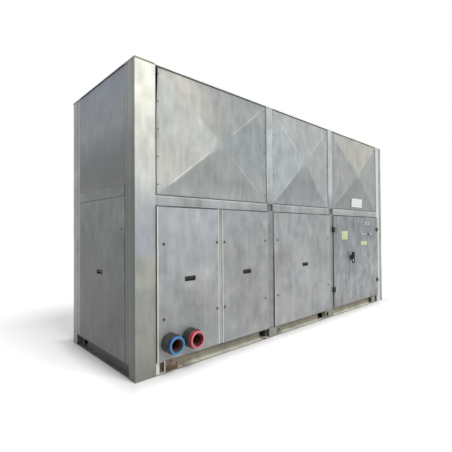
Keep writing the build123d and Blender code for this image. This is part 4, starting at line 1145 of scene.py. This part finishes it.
@dataclass
class LowerPanels:
    """Access panels of the lower storey with their pulls and quarter-turn fasteners."""

    stops: tuple[tuple[tuple[float, Colour], ...], ...] = (
        ((0.1, shade(158, 160, 160)), (0.45, shade(154, 155, 155)), (0.6, shade(160, 162, 162)),
         (0.76, shade(168, 170, 172)), (1.24, shade(172, 175, 179))),
        ((0.1, shade(154, 155, 155)), (0.6, shade(155, 156, 157)), (0.9, shade(158, 159, 161)),
         (1.24, shade(163, 165, 169))),
        ((0.1, shade(160, 161, 161)), (0.4, shade(166, 167, 168)), (0.7, shade(160, 161, 162)),
         (1.24, shade(162, 164, 167))))
    # End panels' grade: darker than the front as painted shade.
    shaded_end_stops: tuple[tuple[float, Colour], ...] = (
        (0.1, shade(109, 110, 108)), (0.45, shade(104, 105, 104)), (0.8, shade(105, 108, 107)),
        (1.0, shade(112, 116, 115)), (1.32, shade(119, 123, 122)))
    # For each panel: how strong the painted highlight along its low-X edge and the painted shade on its returns are,
    # the highlight's width, and the height above which the return shade fades.
    borders: tuple[tuple[float, float, float, float], ...] = (
        (0.85, 0.85, 0.011, 9.0), (0.8, 0.0, 0.009, 9.0), (0.5, 0.8, 0.008, 0.8))
    fastener_rows: tuple[float, float] = (0.405, 0.962)
    end_rows: tuple[float, float] = (0.367, 1.077)
    front_insets: tuple[tuple[float, float], ...] = ((0.055, 0.0165), (0.024, 0.049), (0.048, 0.048))
    end_inset: float = 0.049
    pull: tuple[float, float] = (0.052, 0.019)
    pull_rise: float = 0.014

    def panels(self) -> None:
        """Makes the sheets of the panels."""
        for number, stops in enumerate(self.stops, 1):
            node = f"lower_panel_{number}"
            low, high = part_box(node)
            light, dark, edge, top = self.borders[number - 1]
            finish = SheetFinish(stops=stops, shift=(number * 2.3, 0.4, number),
                                 border=Border(low.x, high.z, low.y, 0.8, light, dark, edge, top))
            softened(f"access_panel_{number}", node, finish.material(f"access panel sheet {number}"),
                     width=0.0025)
        # Cover strip: a painted highlight along its low-X edge and painted shade on its returns.
        strip = SheetFinish(colour=shade(164, 168, 168), shift=(9, 1, 1),
                            border=Border(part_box("panel_mullion")[0].x, 9.0, SERVICE_FACE - 0.009, 0.0, 0.8, 0.3,
                                          0.01))
        softened("cover_strip", "panel_mullion", strip.material("cover strip sheet"), width=0.002)
        end = SheetFinish(stops=self.shaded_end_stops, shift=(6, 3, 2), cloud=0.4, patch=0.55, streak=0.4, grime_top=0.45)
        softened("end_panels_lower", "lower_panels_end", end.material("lower end sheet"), width=0.0025)
        back = SheetFinish(colour=shade(162, 165, 165), shift=(8, 5, 4))
        softened("back_panels", "lower_panels_back", back.material("back panel sheet"), width=0.0025)

    def places(self) -> list["PanelPlace"]:
        """Finds where each panel lies and where its fasteners go."""
        found = []
        for number, insets in enumerate(self.front_insets, 1):
            low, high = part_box(f"lower_panel_{number}")
            found.append(PanelPlace(Side.FRONT, (low.x, high.x), low.y, (low.z, high.z), insets, self.fastener_rows))
        bottom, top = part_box("lower_panels_back")
        for number in (1, 2, 3):
            low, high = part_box(f"upper_panel_{number}")
            found.append(PanelPlace(Side.BACK, (low.x, high.x), top.y, (bottom.z, top.z), self.front_insets[2],
                                    self.fastener_rows))
        bottom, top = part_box("lower_panels_end")
        for side, face in ((Side.LEFT, bottom.x), (Side.RIGHT, top.x)):
            found.append(PanelPlace(side, (bottom.y, top.y), face, (bottom.z, top.z), (self.end_inset,) * 2,
                                    self.end_rows))
        return found

    def pull_skins(self) -> tuple[Skin, Skin]:
        """Skins of one recessed pull and of the ledge inside it.

        The cup is a rounded rectangle whose outline steps in: over the lip, down the wall to the floor, and
        back out behind it. The ledge is a bar with round edges across the upper part of the cup.
        """
        wide, tall = self.pull
        lip = [(0, 0), (0, 0.0012), (0.0008, 0.002), (0.0045, 0.0022), (0.0058, 0.0012), (0.0066, -0.0125)]
        behind = [(0.0052, -0.0139), (0.0050, 0)]
        floor = rectangle_loft(wide - 0.0066, tall - 0.0066, 0.002, [(0, -0.0139), (0, -0.0125)])
        wall = rectangle_loft(wide, tall, 0.004, lip + behind, closed_path=True)
        ledge = rectangle_loft(wide - 0.009, 0.0035, 0.0015, [(0.001, -0.011), (0, -0.010), (0, -0.001), (0.0008, 0)])
        lift = np.array([0, tall * 0.28, 0])
        return Skin.joined([wall, floor]), Skin(ledge.points + lift, ledge.faces)

    def build(self) -> None:
        """Makes the panels, then every pull and fastener as copies on its own side."""
        self.panels()
        cup, ledge = self.pull_skins()
        ring = lathe([(0.0102, -0.0002), (0.0145, -0.0002), (0.0148, 0.0006), (0.0138, 0.0016), (0.0115, 0.0018),
                      (0.0102, 0.0008)], 28, hollow=True)
        core = lathe([(0.0001, -0.0002), (0.0104, -0.0002), (0.0104, 0.0004), (0.0094, 0.0008), (0.0001, 0.0008)], 24)
        bar = boxes([(-0.0058, -0.0012, 0.0004)], [(0.0058, 0.0012, 0.0016)])
        cups, ledges, rings, cores = [], [], [], []
        for panel in self.places():
            where = panel.spot(sum(panel.span) / 2, sum(panel.height) / 2 + self.pull_rise)
            cups.append(cup.placed(panel.side, where))
            ledges.append(ledge.placed(panel.side, where))
            across = (panel.span[0] + panel.insets[0], panel.span[1] - panel.insets[1])
            at = np.array([panel.spot(a, z) for a in across for z in panel.rows])
            rings.append(ring.placed(panel.side).copies(at))
            cores.append(Skin.joined([core, bar.turned(0.7)]).placed(panel.side).copies(at))
        black = MouldedFinish(shade(18, 19, 20), roughness=0.5, fade=0.06).material("pull plastic")
        grey = MouldedFinish(shade(46, 49, 50), roughness=0.4, fade=0.06).material("pull ledge")
        piece = piece_from_skin("panel_pulls", Skin.joined(cups), Body.HOUSING, Slot.BLACK, black)
        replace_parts(piece, "panel_handles")
        piece_from_skin("panel_pull_ledges", Skin.joined(ledges), Body.HOUSING, Slot.BLACK, grey)
        zinc = SteelFinish(shade(140, 142, 140), rust=0.1, metallic=0.4, roughness=0.5).material("fastener rim")
        dark = MouldedFinish(shade(46, 46, 44), roughness=0.5).material("fastener core")
        piece_from_skin("panel_fastener_rims", Skin.joined(rings), Body.HOUSING, Slot.ZINC, zinc)
        piece_from_skin("panel_fastener_cores", Skin.joined(cores), Body.HOUSING, Slot.BLACK, dark)


@dataclass
class ElectricalSection:
    """Cabinet, hinged door and what is mounted on it."""

    door_stops: tuple[tuple[float, Colour], ...] = (
        (0.1, shade(140, 141, 140)), (0.22, shade(150, 152, 154)), (0.5, shade(152, 155, 158)),
        (0.75, shade(144, 147, 150)), (1.0, shade(136, 139, 143)), (1.24, shade(140, 143, 147)))
    grip_half: float = 0.015
    sticker_places: tuple[tuple[float, float, float, float], ...] = (
        (0.27, 0.89, 0.075, 0.055), (0.81, 0.775, 0.09, 0.026))

    def build(self) -> None:
        """Makes the cabinet, the door, its hinges and latches, the switch and the small controls."""
        paint = SheetFinish(colour=shade(190, 192, 190), metallic=0.1, roughness=0.5, grime=0.0, cloud=0.03,
                            patch=0.02, streak=0.02, scratches=0.1).material("cabinet paint")
        softened("cabinet_case", "electrical_cabinet", paint, width=0.001)
        plate = SheetFinish(colour=shade(168, 172, 176), metallic=0.6, roughness=0.4, grime=0.0, patch=0.12,
                            ).material("zinc mounting plate")
        softened("mounting_plate_zinc", "mounting_plate", plate, width=0.001)
        low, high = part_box("electrical_door")
        # Door: painted shade along its top joint and a painted highlight along its low-X edge.
        leaf = SheetFinish(stops=self.door_stops, shift=(11, 2, 5), patch=0.6, streak=0.5, grime=0.4,
                           border=Border(low.x, high.z, low.y, 0.7, 0.3, 0.0)).material("door sheet")
        softened("door_leaf", "electrical_door", leaf, Body.DOOR, 0.002)
        black = MouldedFinish(shade(22, 23, 24), roughness=0.4, fade=0.08).material("black hardware")
        softened("hinge_blocks_fixed", "hinge_leaves_fixed", black, width=0.0012)
        softened("hinge_blocks_door", "hinge_leaves_door", black, Body.DOOR, 0.0012)
        softened("latch_heads", "door_latches", black, Body.DOOR, 0.0015)
        self.latch_caps(black)
        self.switch(black)
        self.controls()
        self.stickers(low)

    def stickers(self, corner: Vector) -> None:
        """Makes the two bare yellowish stickers: thin plates with round corners on the door's face."""
        yellow = MouldedFinish(shade(206, 214, 168), dust=shade(186, 190, 176), fade=0.5, grain=60.0,
                               roughness=0.45).material("faded sticker")
        plates = []
        for x, z, half_wide, half_tall in self.sticker_places:
            plate = rectangle_loft(half_wide, half_tall, 0.004, [(0, 0), (0, 0.0006), (0.0004, 0.0008)])
            plates.append(plate.placed(Side.FRONT, (corner.x + x, corner.y, corner.z + z)))
        piece_from_skin("door_stickers", Skin.joined(plates), Body.DOOR, Slot.WHITE, yellow)

    def latch_caps(self, black: Material) -> None:
        """Makes the key inserts on the latches: a low turned ring with a three-sided stub inside it."""
        low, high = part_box("door_latches")
        rows = (low.z + 0.042, high.z - (high.x - low.x) / 2)
        x = (low.x + high.x) / 2
        at = np.array([(x, low.y, row) for row in rows])
        ring = lathe([(0.009, 0), (0.014, 0), (0.014, 0.0025), (0.0115, 0.0035), (0.009, 0.0025)], 28, hollow=True)
        stub = lathe([(0.0001, 0), (0.006, 0), (0.0055, 0.0025), (0.0001, 0.0025)], 3)
        skin = Skin.joined([ring, stub]).placed(Side.FRONT).copies(at)
        piece_from_skin("latch_key_inserts", skin, Body.DOOR, Slot.BLACK_METAL, black)

    def switch(self, black: Material) -> None:
        """Makes the main switch: a stepped bezel, the turning grip and a pale mark on the grip."""
        low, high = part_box("main_switch_bezel")
        x, z = (low.x + high.x) / 2, (low.z + high.z) / 2
        radius, deep = (high.x - low.x) / 2, high.y - low.y
        profile = [(0.0063, 0), (radius, 0), (radius, deep * 0.45), (radius * 0.93, deep * 0.72),
                   (radius * 0.8, deep * 0.8), (radius * 0.78, deep), (0.0063, deep)]
        bezel = lathe(profile, 56, hollow=True).placed(Side.FRONT, (x, high.y, z))
        grey = MouldedFinish(shade(46, 49, 51), roughness=0.4).material("bezel plastic")
        piece = piece_from_skin("switch_bezel", bezel, Body.DOOR, Slot.BLACK, grey)
        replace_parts(piece, "main_switch_bezel")
        softened("switch_grip", "main_switch_handle", black, Body.SWITCH, 0.002)
        grip_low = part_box("main_switch_handle")[0]
        white = MouldedFinish(shade(226, 232, 232), roughness=0.3).material("pale mark")
        mark = rectangle_loft(0.0065, 0.021, 0.004, [(0.001, -0.001), (0, 0), (0, 0.0008), (0.001, 0.0014)])
        where = (x - self.grip_half, grip_low.y + 0.011, grip_low.z + 0.036)
        skin = mark.placed(Side.LEFT, where)
        piece_from_skin("switch_grip_mark", skin, Body.SWITCH, Slot.WHITE, white)

    def controls(self) -> None:
        """Makes the row of small controls, the key plate and its barrel."""
        low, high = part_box("control_knobs")
        z = (low.z + high.z) / 2
        radius = (high.z - low.z) / 2
        x = np.linspace(low.x + radius, high.x - radius, 4)
        at = np.stack([x, np.full(4, high.y), np.full(4, z)], -1)
        collar = lathe([(0.0142, 0), (radius, 0), (radius, 0.003), (radius - 0.002, 0.005), (0.0142, 0.005)], 36,
                       hollow=True)
        knob = lathe([(0.0001, 0), (0.014, 0), (0.014, 0.015), (0.0125, 0.0185), (0.007, 0.02), (0.0001, 0.02)], 32)
        chrome = SteelFinish(shade(176, 180, 182), rust=0.0, metallic=0.8, roughness=0.3, grime=0.0).material("collar")
        pale = MouldedFinish(shade(206, 209, 207), roughness=0.3, fade=0.1).material("pale lens")
        dark = MouldedFinish(shade(40, 42, 43), roughness=0.35).material("dark knob")
        collars = collar.placed(Side.FRONT).copies(at)
        piece = piece_from_skin("control_collars", collars, Body.DOOR, Slot.ZINC, chrome)
        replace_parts(piece, "control_knobs")
        piece_from_skin("control_lenses", knob.placed(Side.FRONT).copies(at[[0, 1, 3]]), Body.DOOR, Slot.WHITE, pale)
        piece_from_skin("control_dark_knob", knob.placed(Side.FRONT).copies(at[[2]]), Body.DOOR, Slot.BLACK, dark)
        white = MouldedFinish(shade(190, 192, 188), roughness=0.4).material("key plate")
        softened("key_plate_cover", "key_plate", white, Body.DOOR, 0.001)
        low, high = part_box("key_barrel")
        radius = (high.x - low.x) / 2
        middle = ((low.x + high.x) / 2, high.y, (low.z + high.z) / 2)
        barrel = lathe([(0.0001, 0), (radius, 0), (radius, 0.008), (radius * 0.8, 0.0096), (0.0001, 0.0096)], 28)
        slot = boxes([(-0.0008, -0.004, 0.0092)], [(0.0008, 0.004, 0.01)])
        skin = Skin.joined([barrel, slot]).placed(Side.FRONT, middle)
        black = MouldedFinish(shade(18, 19, 20), roughness=0.35).material("barrel black")
        piece = piece_from_skin("key_barrel_turned", skin, Body.DOOR, Slot.BLACK_METAL, black)
        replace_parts(piece, "key_barrel")


@dataclass(frozen=True)
class RingShades:
    """Colours of a coloured ring: its side in painted shade, its front lip in painted light, and the inside of its
    mouth.
    """

    side: Colour
    front: Colour
    inside: Colour

    def material(self, name: str, middle: Place, limits: tuple[float, float]) -> Material:
        """Glossy plastic whose three colours meet at the lip, with the side and the front lip painted as shaded and
        lit.

        Args:
            name: Name of the material.
            middle: A point on the ring's axis, which runs along Y.
            limits: Y behind which the lip ends, and the radius inside which the mouth begins.

        Returns:
            The material.
        """
        d = Dressing.start(name)
        t = d.tree
        apart = t.add("ShaderNodeSeparateXYZ")
        t.feed(apart.inputs[0], d.fixed_place)
        across = t.math("SUBTRACT", apart.outputs[0], middle[0])
        up = t.math("SUBTRACT", apart.outputs[2], middle[2])
        square = t.math("ADD", t.math("MULTIPLY", across, across), t.math("MULTIPLY", up, up))
        radius = t.math("SQRT", square)
        lip = t.between(apart.outputs[1], limits[0] - 0.002, limits[0] + 0.002, 1.0, 0.0)
        mouth = t.between(radius, limits[1] - 0.001, limits[1], 1.0, 0.0)
        colour = t.mixed(lip, self.side, self.front)
        colour = t.mixed(mouth, colour, self.inside)
        grain = t.group(EFFECTS.moulding, Place=d.place, Scale=900.0, Fade=0.12)
        t.feed(d.shader.inputs["Base Color"], t.mixed(grain.outputs["Fade"], colour, shade(150, 148, 140)))
        d.shader.inputs["Roughness"].default_value = 0.35
        d.bump(grain.outputs["Height"], 0.15, 0.0005)
        return d.material


@dataclass
class WaterConnections:
    """Two steel pipe stubs with soft sleeves and coloured mouth rings."""

    sides: int = 72
    mouth: float = 0.05
    mouth_depth: float = 0.014
    lip_depth: float = 0.0045

    def build(self) -> None:
        """Makes the pipes, the sleeves, the rings and the bracket."""
        low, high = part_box("water_pipes")
        outer = (high.z - low.z) / 2
        inner = outer - 0.004
        z = (low.z + high.z) / 2
        centres = (low.x + outer, high.x - outer)
        at = np.array([(x, low.y, z) for x in centres])
        deep = high.y - low.y
        pipe = lathe([(inner, 0), (inner + 0.001, 0.0), (outer, 0), (outer, -deep), (inner, -deep)], self.sides,
                     hollow=True)
        steel = SteelFinish(shade(96, 50, 38), rust=0.35, rust_scale=22.0, metallic=0.2, grime=0.0)
        piece = piece_from_skin("pipe_stubs", pipe.placed(Side.FRONT).copies(at), Body.HOUSING, Slot.PIPE,
                                steel.material("rusty pipe"))
        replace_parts(piece, "water_pipes")
        self.sleeves(outer, z, centres)
        # Each ring: side in painted shade, front lip in painted light, then the mouth's own tone.
        self.ring("pipe_ring_blue", RingShades(shade(20, 48, 112), shade(66, 136, 186), shade(12, 96, 120)), outer)
        self.ring("pipe_ring_red", RingShades(shade(178, 36, 58), shade(218, 116, 126), shade(104, 12, 28)), outer)
        inside = SheetFinish(colour=shade(150, 152, 152), grime=0.0).material("bracket sheet")
        softened("pipe_bracket_plate", "pipe_bracket", inside, width=0.001)

    def sleeves(self, bore: float, z: float, centres: tuple[float, float]) -> None:
        """Makes the soft sleeves: round-edged rings with a faint waist, radius less 0.0015 sin(pi s)."""
        low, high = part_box("pipe_sleeves")
        radius, deep = (high.z - low.z) / 2, high.y - low.y
        s = np.linspace(0, 1, 9)
        edge = 0.008
        outside = [(radius - 0.0015 * math.sin(math.pi * v), edge + (deep - 2 * edge) * v) for v in s]
        profile = [(bore, 0), (radius - edge, 0), (radius - edge * 0.3, edge * 0.3), *outside,
                   (radius - edge * 0.3, deep - edge * 0.3), (radius - edge, deep), (bore, deep)]
        skin = lathe(profile, self.sides, hollow=True).placed(Side.FRONT)
        at = np.array([(x, high.y, z) for x in centres])
        foam = MouldedFinish(shade(52, 54, 48), dust=shade(112, 112, 92), fade=0.45, grain=420.0,
                             grain_height=0.5, roughness=0.75).material("sleeve foam")
        piece = piece_from_skin("pipe_sleeve_foam", skin.copies(at), Body.HOUSING, Slot.RUBBER, foam)
        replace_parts(piece, "pipe_sleeves")

    def ring(self, node: str, shades: "RingShades", bore: float) -> None:
        """Makes one coloured ring: a band with a bead behind, a round front lip and a step down to the pipe."""
        low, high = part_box(node)
        radius, deep = (high.z - low.z) / 2, high.y - low.y
        step = deep - self.mouth_depth
        lip = [(radius, deep - 0.007), (radius - 0.0012, deep - 0.004), (radius - 0.0035, deep - 0.0015),
               (radius - 0.007, deep), (self.mouth + 0.003, deep), (self.mouth, deep - 0.003),
               (self.mouth, step), (bore + 0.0003, step)]
        back = [(bore + 0.0003, 0), (radius, 0), (radius, 0.005), (radius - 0.003, 0.007), (radius - 0.003, 0.014)]
        profile = [*back, (radius, 0.017), *lip]
        middle = ((low.x + high.x) / 2, high.y, (low.z + high.z) / 2)
        skin = lathe(profile, self.sides, hollow=True).placed(Side.FRONT, middle)
        slot = Slot.BLUE if node.endswith("blue") else Slot.RED
        finish = shades.material(f"{node} plastic", middle, (low.y + self.lip_depth, self.mouth + 0.0015))
        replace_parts(piece_from_skin(f"{node}_band", skin, Body.HOUSING, slot, finish), node)


@dataclass
class Roof:
    """Roof sheets and the three fans."""

    guard_rings: int = 11
    wire: float = 0.0025
    blade_count: int = 5
    shaded_half: float = 0.44

    def build(self) -> None:
        """Makes the sheets, the ducts, the guards, the motors and the impellers."""
        sheet = self.sheet_material()
        for number in (1, 2, 3):
            softened(f"roof_sheet_{number}_cover", f"roof_sheet_{number}", sheet, width=0.002)
        steel = SteelFinish(shade(150, 153, 154), rust=0.12, metallic=0.5, roughness=0.45, grime=0.0)
        duct = steel.material("duct steel")
        softened("fan_ducts", "fan_rings", duct, width=0.001)
        low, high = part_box("fan_guards")
        radius = (high.y - low.y) / 2
        centres = [middle_of(f"upper_panel_{number}").x for number in (1, 2, 3)]
        tops = np.array([(x, 0, low.z) for x in centres])
        self.guards(tops, radius, high.z - low.z)
        self.motors(centres)
        self.impellers(centres)

    def sheet_material(self) -> Material:
        """Roof sheet: mottled on top, with a painted highlight along the service edge past the near post and painted
        shade along the end edge.
        """
        d = Dressing.start("roof sheet", (3, 7, 1))
        t = d.tree
        mottle = t.group(EFFECTS.mottle, Place=d.place, Cloud=0.14, Patch=0.14, Streak=0.04, Tint=0.5)
        apart = t.add("ShaderNodeSeparateXYZ")
        t.feed(apart.inputs[0], d.fixed_place)
        x, y, _ = apart.outputs
        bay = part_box("upper_panel_1")[0].x
        # Service edge: grey over the near post, a painted highlight beyond it.
        front = t.mixed(t.between(x, bay - 0.02, bay), shade(168, 165, 158), shade(250, 250, 246))
        # End edge: painted shade between the corners.
        inner = t.math("MULTIPLY", t.between(y, -self.shaded_half - 0.05, -self.shaded_half),
                       t.between(y, self.shaded_half - 0.05, self.shaded_half, 1.0, 0.0))
        end = t.mixed(inner, shade(150, 150, 147), shade(34, 36, 40))
        colour = t.mixed(t.between(y, SERVICE_FACE + 0.002, SERVICE_FACE + 0.004, 1.0, 0.0), shade(178, 180, 178), front)
        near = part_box("corner_posts_front")[0].x
        colour = t.mixed(t.between(x, near + 0.001, near + 0.003, 1.0, 0.0), colour, end)
        t.feed(d.shader.inputs["Base Color"], t.mixed(1.0, colour, mottle.outputs["Colour"], "MULTIPLY"))
        t.feed(d.shader.inputs["Roughness"], t.math("ADD", mottle.outputs["Rough"], 0.5))
        d.shader.inputs["Metallic"].default_value = 0.2
        d.bump(mottle.outputs["Height"], 0.12, 0.001)
        return d.material

    def guards(self, tops: Array, radius: float, tall: float) -> None:
        """Makes the guards: round wires in rings, radius R + r cos b at height r sin b, on eight spokes."""
        bend = np.linspace(0, FULL_TURN, 8, endpoint=False)
        rings = []
        for r in np.linspace(0.085, radius - self.wire, self.guard_rings):
            circle = np.stack([r + self.wire * np.cos(bend), tall - self.wire + self.wire * np.sin(bend)], -1)
            rings.append(lathe([tuple(p) for p in circle], 72, hollow=True))
        spoke = rod(radius - 0.07, self.wire)
        spoke = Skin(spoke.points + (0.07, 0, self.wire), spoke.faces)
        spokes = [spoke.turned(angle) for angle in np.linspace(0, FULL_TURN, 8, endpoint=False)]
        plate = lathe([(0.0001, 0), (0.086, 0), (0.086, 0.003), (0.078, 0.005), (0.0001, 0.006)], 48)
        skin = Skin.joined([*rings, *spokes, plate]).copies(tops)
        wire = SteelFinish(shade(120, 123, 124), rust=0.15, metallic=0.6, roughness=0.4, grime=0.0).material("guard wire")
        piece = piece_from_skin("fan_guard_wires", skin, Body.HOUSING, Slot.FAN, wire)
        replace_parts(piece, "fan_guards")

    def motors(self, centres: list[float]) -> None:
        """Makes the ribbed motors under the guards."""
        low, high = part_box("fan_motors")
        radius, tall = (high.y - low.y) / 2, high.z - low.z
        body = lathe([(0.0001, 0), (radius * 0.85, 0), (radius, 0.006), (radius, tall - 0.008),
                      (radius * 0.88, tall - 0.002), (0.0001, tall)], 144, ribs=(24, 0.004))
        at = np.array([(x, 0, low.z) for x in centres])
        paint = SteelFinish(shade(70, 73, 76), rust=0.15, grime=0.0, roughness=0.5).material("motor paint")
        piece = piece_from_skin("fan_motor_bodies", body.copies(at), Body.HOUSING, Slot.FAN, paint)
        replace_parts(piece, "fan_motors")

    def impellers(self, centres: list[float]) -> None:
        """Makes the impellers.

        A blade's section is a thin cambered loop: along the chord c from -1 to 1, the camber is
        0.12 (1 - c c) of the half chord and the thickness follows sqrt(1 - c c). The loop is turned by the
        blade's pitch, which falls from root to tip, and swept forwards by the square of the radius.
        """
        low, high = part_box("fan_impellers")
        reach = (high.y - low.y) / 2
        tall = high.z - low.z
        s = np.linspace(0, 1, 14)[:, None]
        c = np.concatenate([np.linspace(-1, 1, 13), np.linspace(1, -1, 13)[1:-1]])[None]
        upper = np.concatenate([np.ones(13), -np.ones(11)])[None]
        half_chord = 0.062 + 0.032 * np.sin(math.pi * (0.15 + 0.7 * s))
        pitch = np.radians(27 - 9 * s)
        along = c * half_chord
        rise = 0.12 * half_chord * (1 - c ** 2) + upper * 0.0022 * np.sqrt(np.clip(1 - c ** 2, 0, 1) + 0.02)
        across = along * np.cos(pitch) - rise * np.sin(pitch) + 0.075 * s ** 2
        up = along * np.sin(pitch) + rise * np.cos(pitch)
        radius = 0.095 + (reach - 0.004 - 0.095) * s + 0 * c
        spread = np.sqrt(np.clip(radius ** 2 - across ** 2, 0, None))
        rings = np.stack([spread, across, np.clip(up, -tall / 2, tall / 2) + tall / 2], -1)
        blade = loft(rings)
        blades = [blade.turned(angle) for angle in np.linspace(0, FULL_TURN, self.blade_count, endpoint=False)]
        hub = lathe([(0.0001, 0), (0.085, 0), (0.102, 0.012), (0.105, 0.03), (0.105, tall - 0.004),
                     (0.1, tall), (0.0001, tall)], 64)
        at = np.array([(x, 0, low.z) for x in centres])
        plastic = MouldedFinish(shade(58, 61, 64), roughness=0.4, fade=0.3).material("impeller blades")
        piece = piece_from_skin("fan_impeller_wheels", Skin.joined([hub, *blades]).copies(at), Body.HOUSING,
                                Slot.FAN, plastic)
        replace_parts(piece, "fan_impellers")


@dataclass(frozen=True)
class Studio:
    """Camera at the photograph's viewing angle, soft light and a plain pale floor."""

    image: int = 452
    focal_pixels: float = 338.264
    sensor: float = 36.0
    place: Place = (-3.1943, -2.7773, 1.0556)
    yaw: float = math.radians(42.915)
    pitch: float = math.radians(0.8825)
    roll: float = math.radians(-0.3788)
    sky: float = 0.4
    sun: float = 1.85
    sun_from: Place = (0.1, -0.6, 0.85)
    sun_width: float = math.radians(25)
    floor_half: float = 60.0
    floor_glow: float = 0.32
    footprint: tuple[float, float] = (2.0, 0.58)

    def camera(self) -> None:
        """Makes the camera: forward from yaw and pitch, then rolled about its own line of sight."""
        forward = Vector((math.sin(self.yaw), math.cos(self.yaw), 0))
        right = Vector((math.cos(self.yaw), -math.sin(self.yaw), 0))
        up = Vector((0, 0, 1))
        ahead = forward * math.cos(self.pitch) + up * math.sin(self.pitch)
        above = up * math.cos(self.pitch) - forward * math.sin(self.pitch)
        side = right * math.cos(self.roll) + above * math.sin(self.roll)
        head = above * math.cos(self.roll) - right * math.sin(self.roll)
        data = bpy.data.cameras.new("camera")
        data.sensor_width = self.sensor
        data.lens = self.focal_pixels * self.sensor / self.image
        data.clip_start = 0.05
        data.clip_end = 500
        camera = bpy.data.objects.new("camera", data)
        bpy.context.scene.collection.objects.link(camera)
        camera.matrix_world = Matrix((
            (side.x, head.x, -ahead.x, self.place[0]), (side.y, head.y, -ahead.y, self.place[1]),
            (side.z, head.z, -ahead.z, self.place[2]), (0, 0, 0, 1)))
        bpy.context.scene.camera = camera

    def seen_white(self, tree: Tree) -> Socket:
        """1 for rays that should meet the white background: from the camera, a gloss or a transmission."""
        path = tree.add("ShaderNodeLightPath")
        seen = tree.math("MAXIMUM", path.outputs["Is Camera Ray"], path.outputs["Is Glossy Ray"])
        return tree.math("MAXIMUM", seen, path.outputs["Is Transmission Ray"])

    def world(self) -> None:
        """Makes the world: white where it is seen, a level grey where it lights."""
        world = bpy.data.worlds.new("studio")
        world.use_nodes = True
        bpy.context.scene.world = world
        tree = Tree(world.node_tree)
        background = world.node_tree.nodes["Background"]
        tree.feed(background.inputs["Color"], (1.0, 1.0, 1.0))
        strength = tree.math("MULTIPLY", self.seen_white(tree), 1 - self.sky)
        tree.feed(background.inputs["Strength"], tree.math("ADD", strength, self.sky))

    def floor(self) -> None:
        """Makes the pale floor, which keeps the object's shadow."""
        half = self.floor_half
        mesh = bpy.data.meshes.new("studio_floor")
        mesh.from_pydata([(-half, -half, 0), (half, -half, 0), (half, half, 0), (-half, half, 0)], [], [(0, 1, 2, 3)])
        floor = bpy.data.objects.new("studio_floor", mesh)
        bpy.context.scene.collection.objects.link(floor)
        d = Dressing.start("studio floor")
        d.tree.feed(d.shader.inputs["Base Color"], (0.9, 0.9, 0.9))
        d.shader.inputs["Roughness"].default_value = 1.0
        d.shader.inputs["Specular IOR Level"].default_value = 0.0
        d.tree.feed(d.shader.inputs["Emission Color"], (1.0, 1.0, 1.0))
        glow = d.tree.math("MULTIPLY", self.seen_white(d.tree), self.floor_glow)
        apart = d.tree.add("ShaderNodeSeparateXYZ")
        d.tree.feed(apart.inputs[0], d.place)
        beyond = [d.tree.between(d.tree.math("ABSOLUTE", apart.outputs[i]), half, half + 0.25)
                  for i, half in enumerate(self.footprint)]
        clear = d.tree.math("MAXIMUM", *beyond)
        d.tree.feed(d.shader.inputs["Emission Strength"], d.tree.math("MULTIPLY", glow, clear))
        mesh.materials.append(d.material)

    def lamp(self) -> None:
        """Makes the one wide sun, high in front of the service face."""
        data = bpy.data.lights.new("sun", "SUN")
        data.energy = self.sun
        data.angle = self.sun_width
        sun = bpy.data.objects.new("sun", data)
        bpy.context.scene.collection.objects.link(sun)
        sun.rotation_mode = "QUATERNION"
        sun.rotation_quaternion = Vector(self.sun_from).to_track_quat("Z", "Y")

    def build(self) -> None:
        """Makes the stage and sets how colours are shown."""
        self.camera()
        self.world()
        self.floor()
        self.lamp()
        bpy.context.scene.view_settings.view_transform = "Standard"


def main() -> None:
    """Builds the stage and every sub-assembly."""
    logging.basicConfig(level=logging.INFO, format="%(name)s %(message)s")
    assemblies = (Studio(), BaseFrame(), Posts(), Rails(), UpperStorey(), Coils(), LowerPanels(),
                  ElectricalSection(), WaterConnections(), Roof())
    for assembly in assemblies:
        LOG.info("%s", type(assembly).__name__)
        assembly.build()


if __name__ == "__main__":
    main()
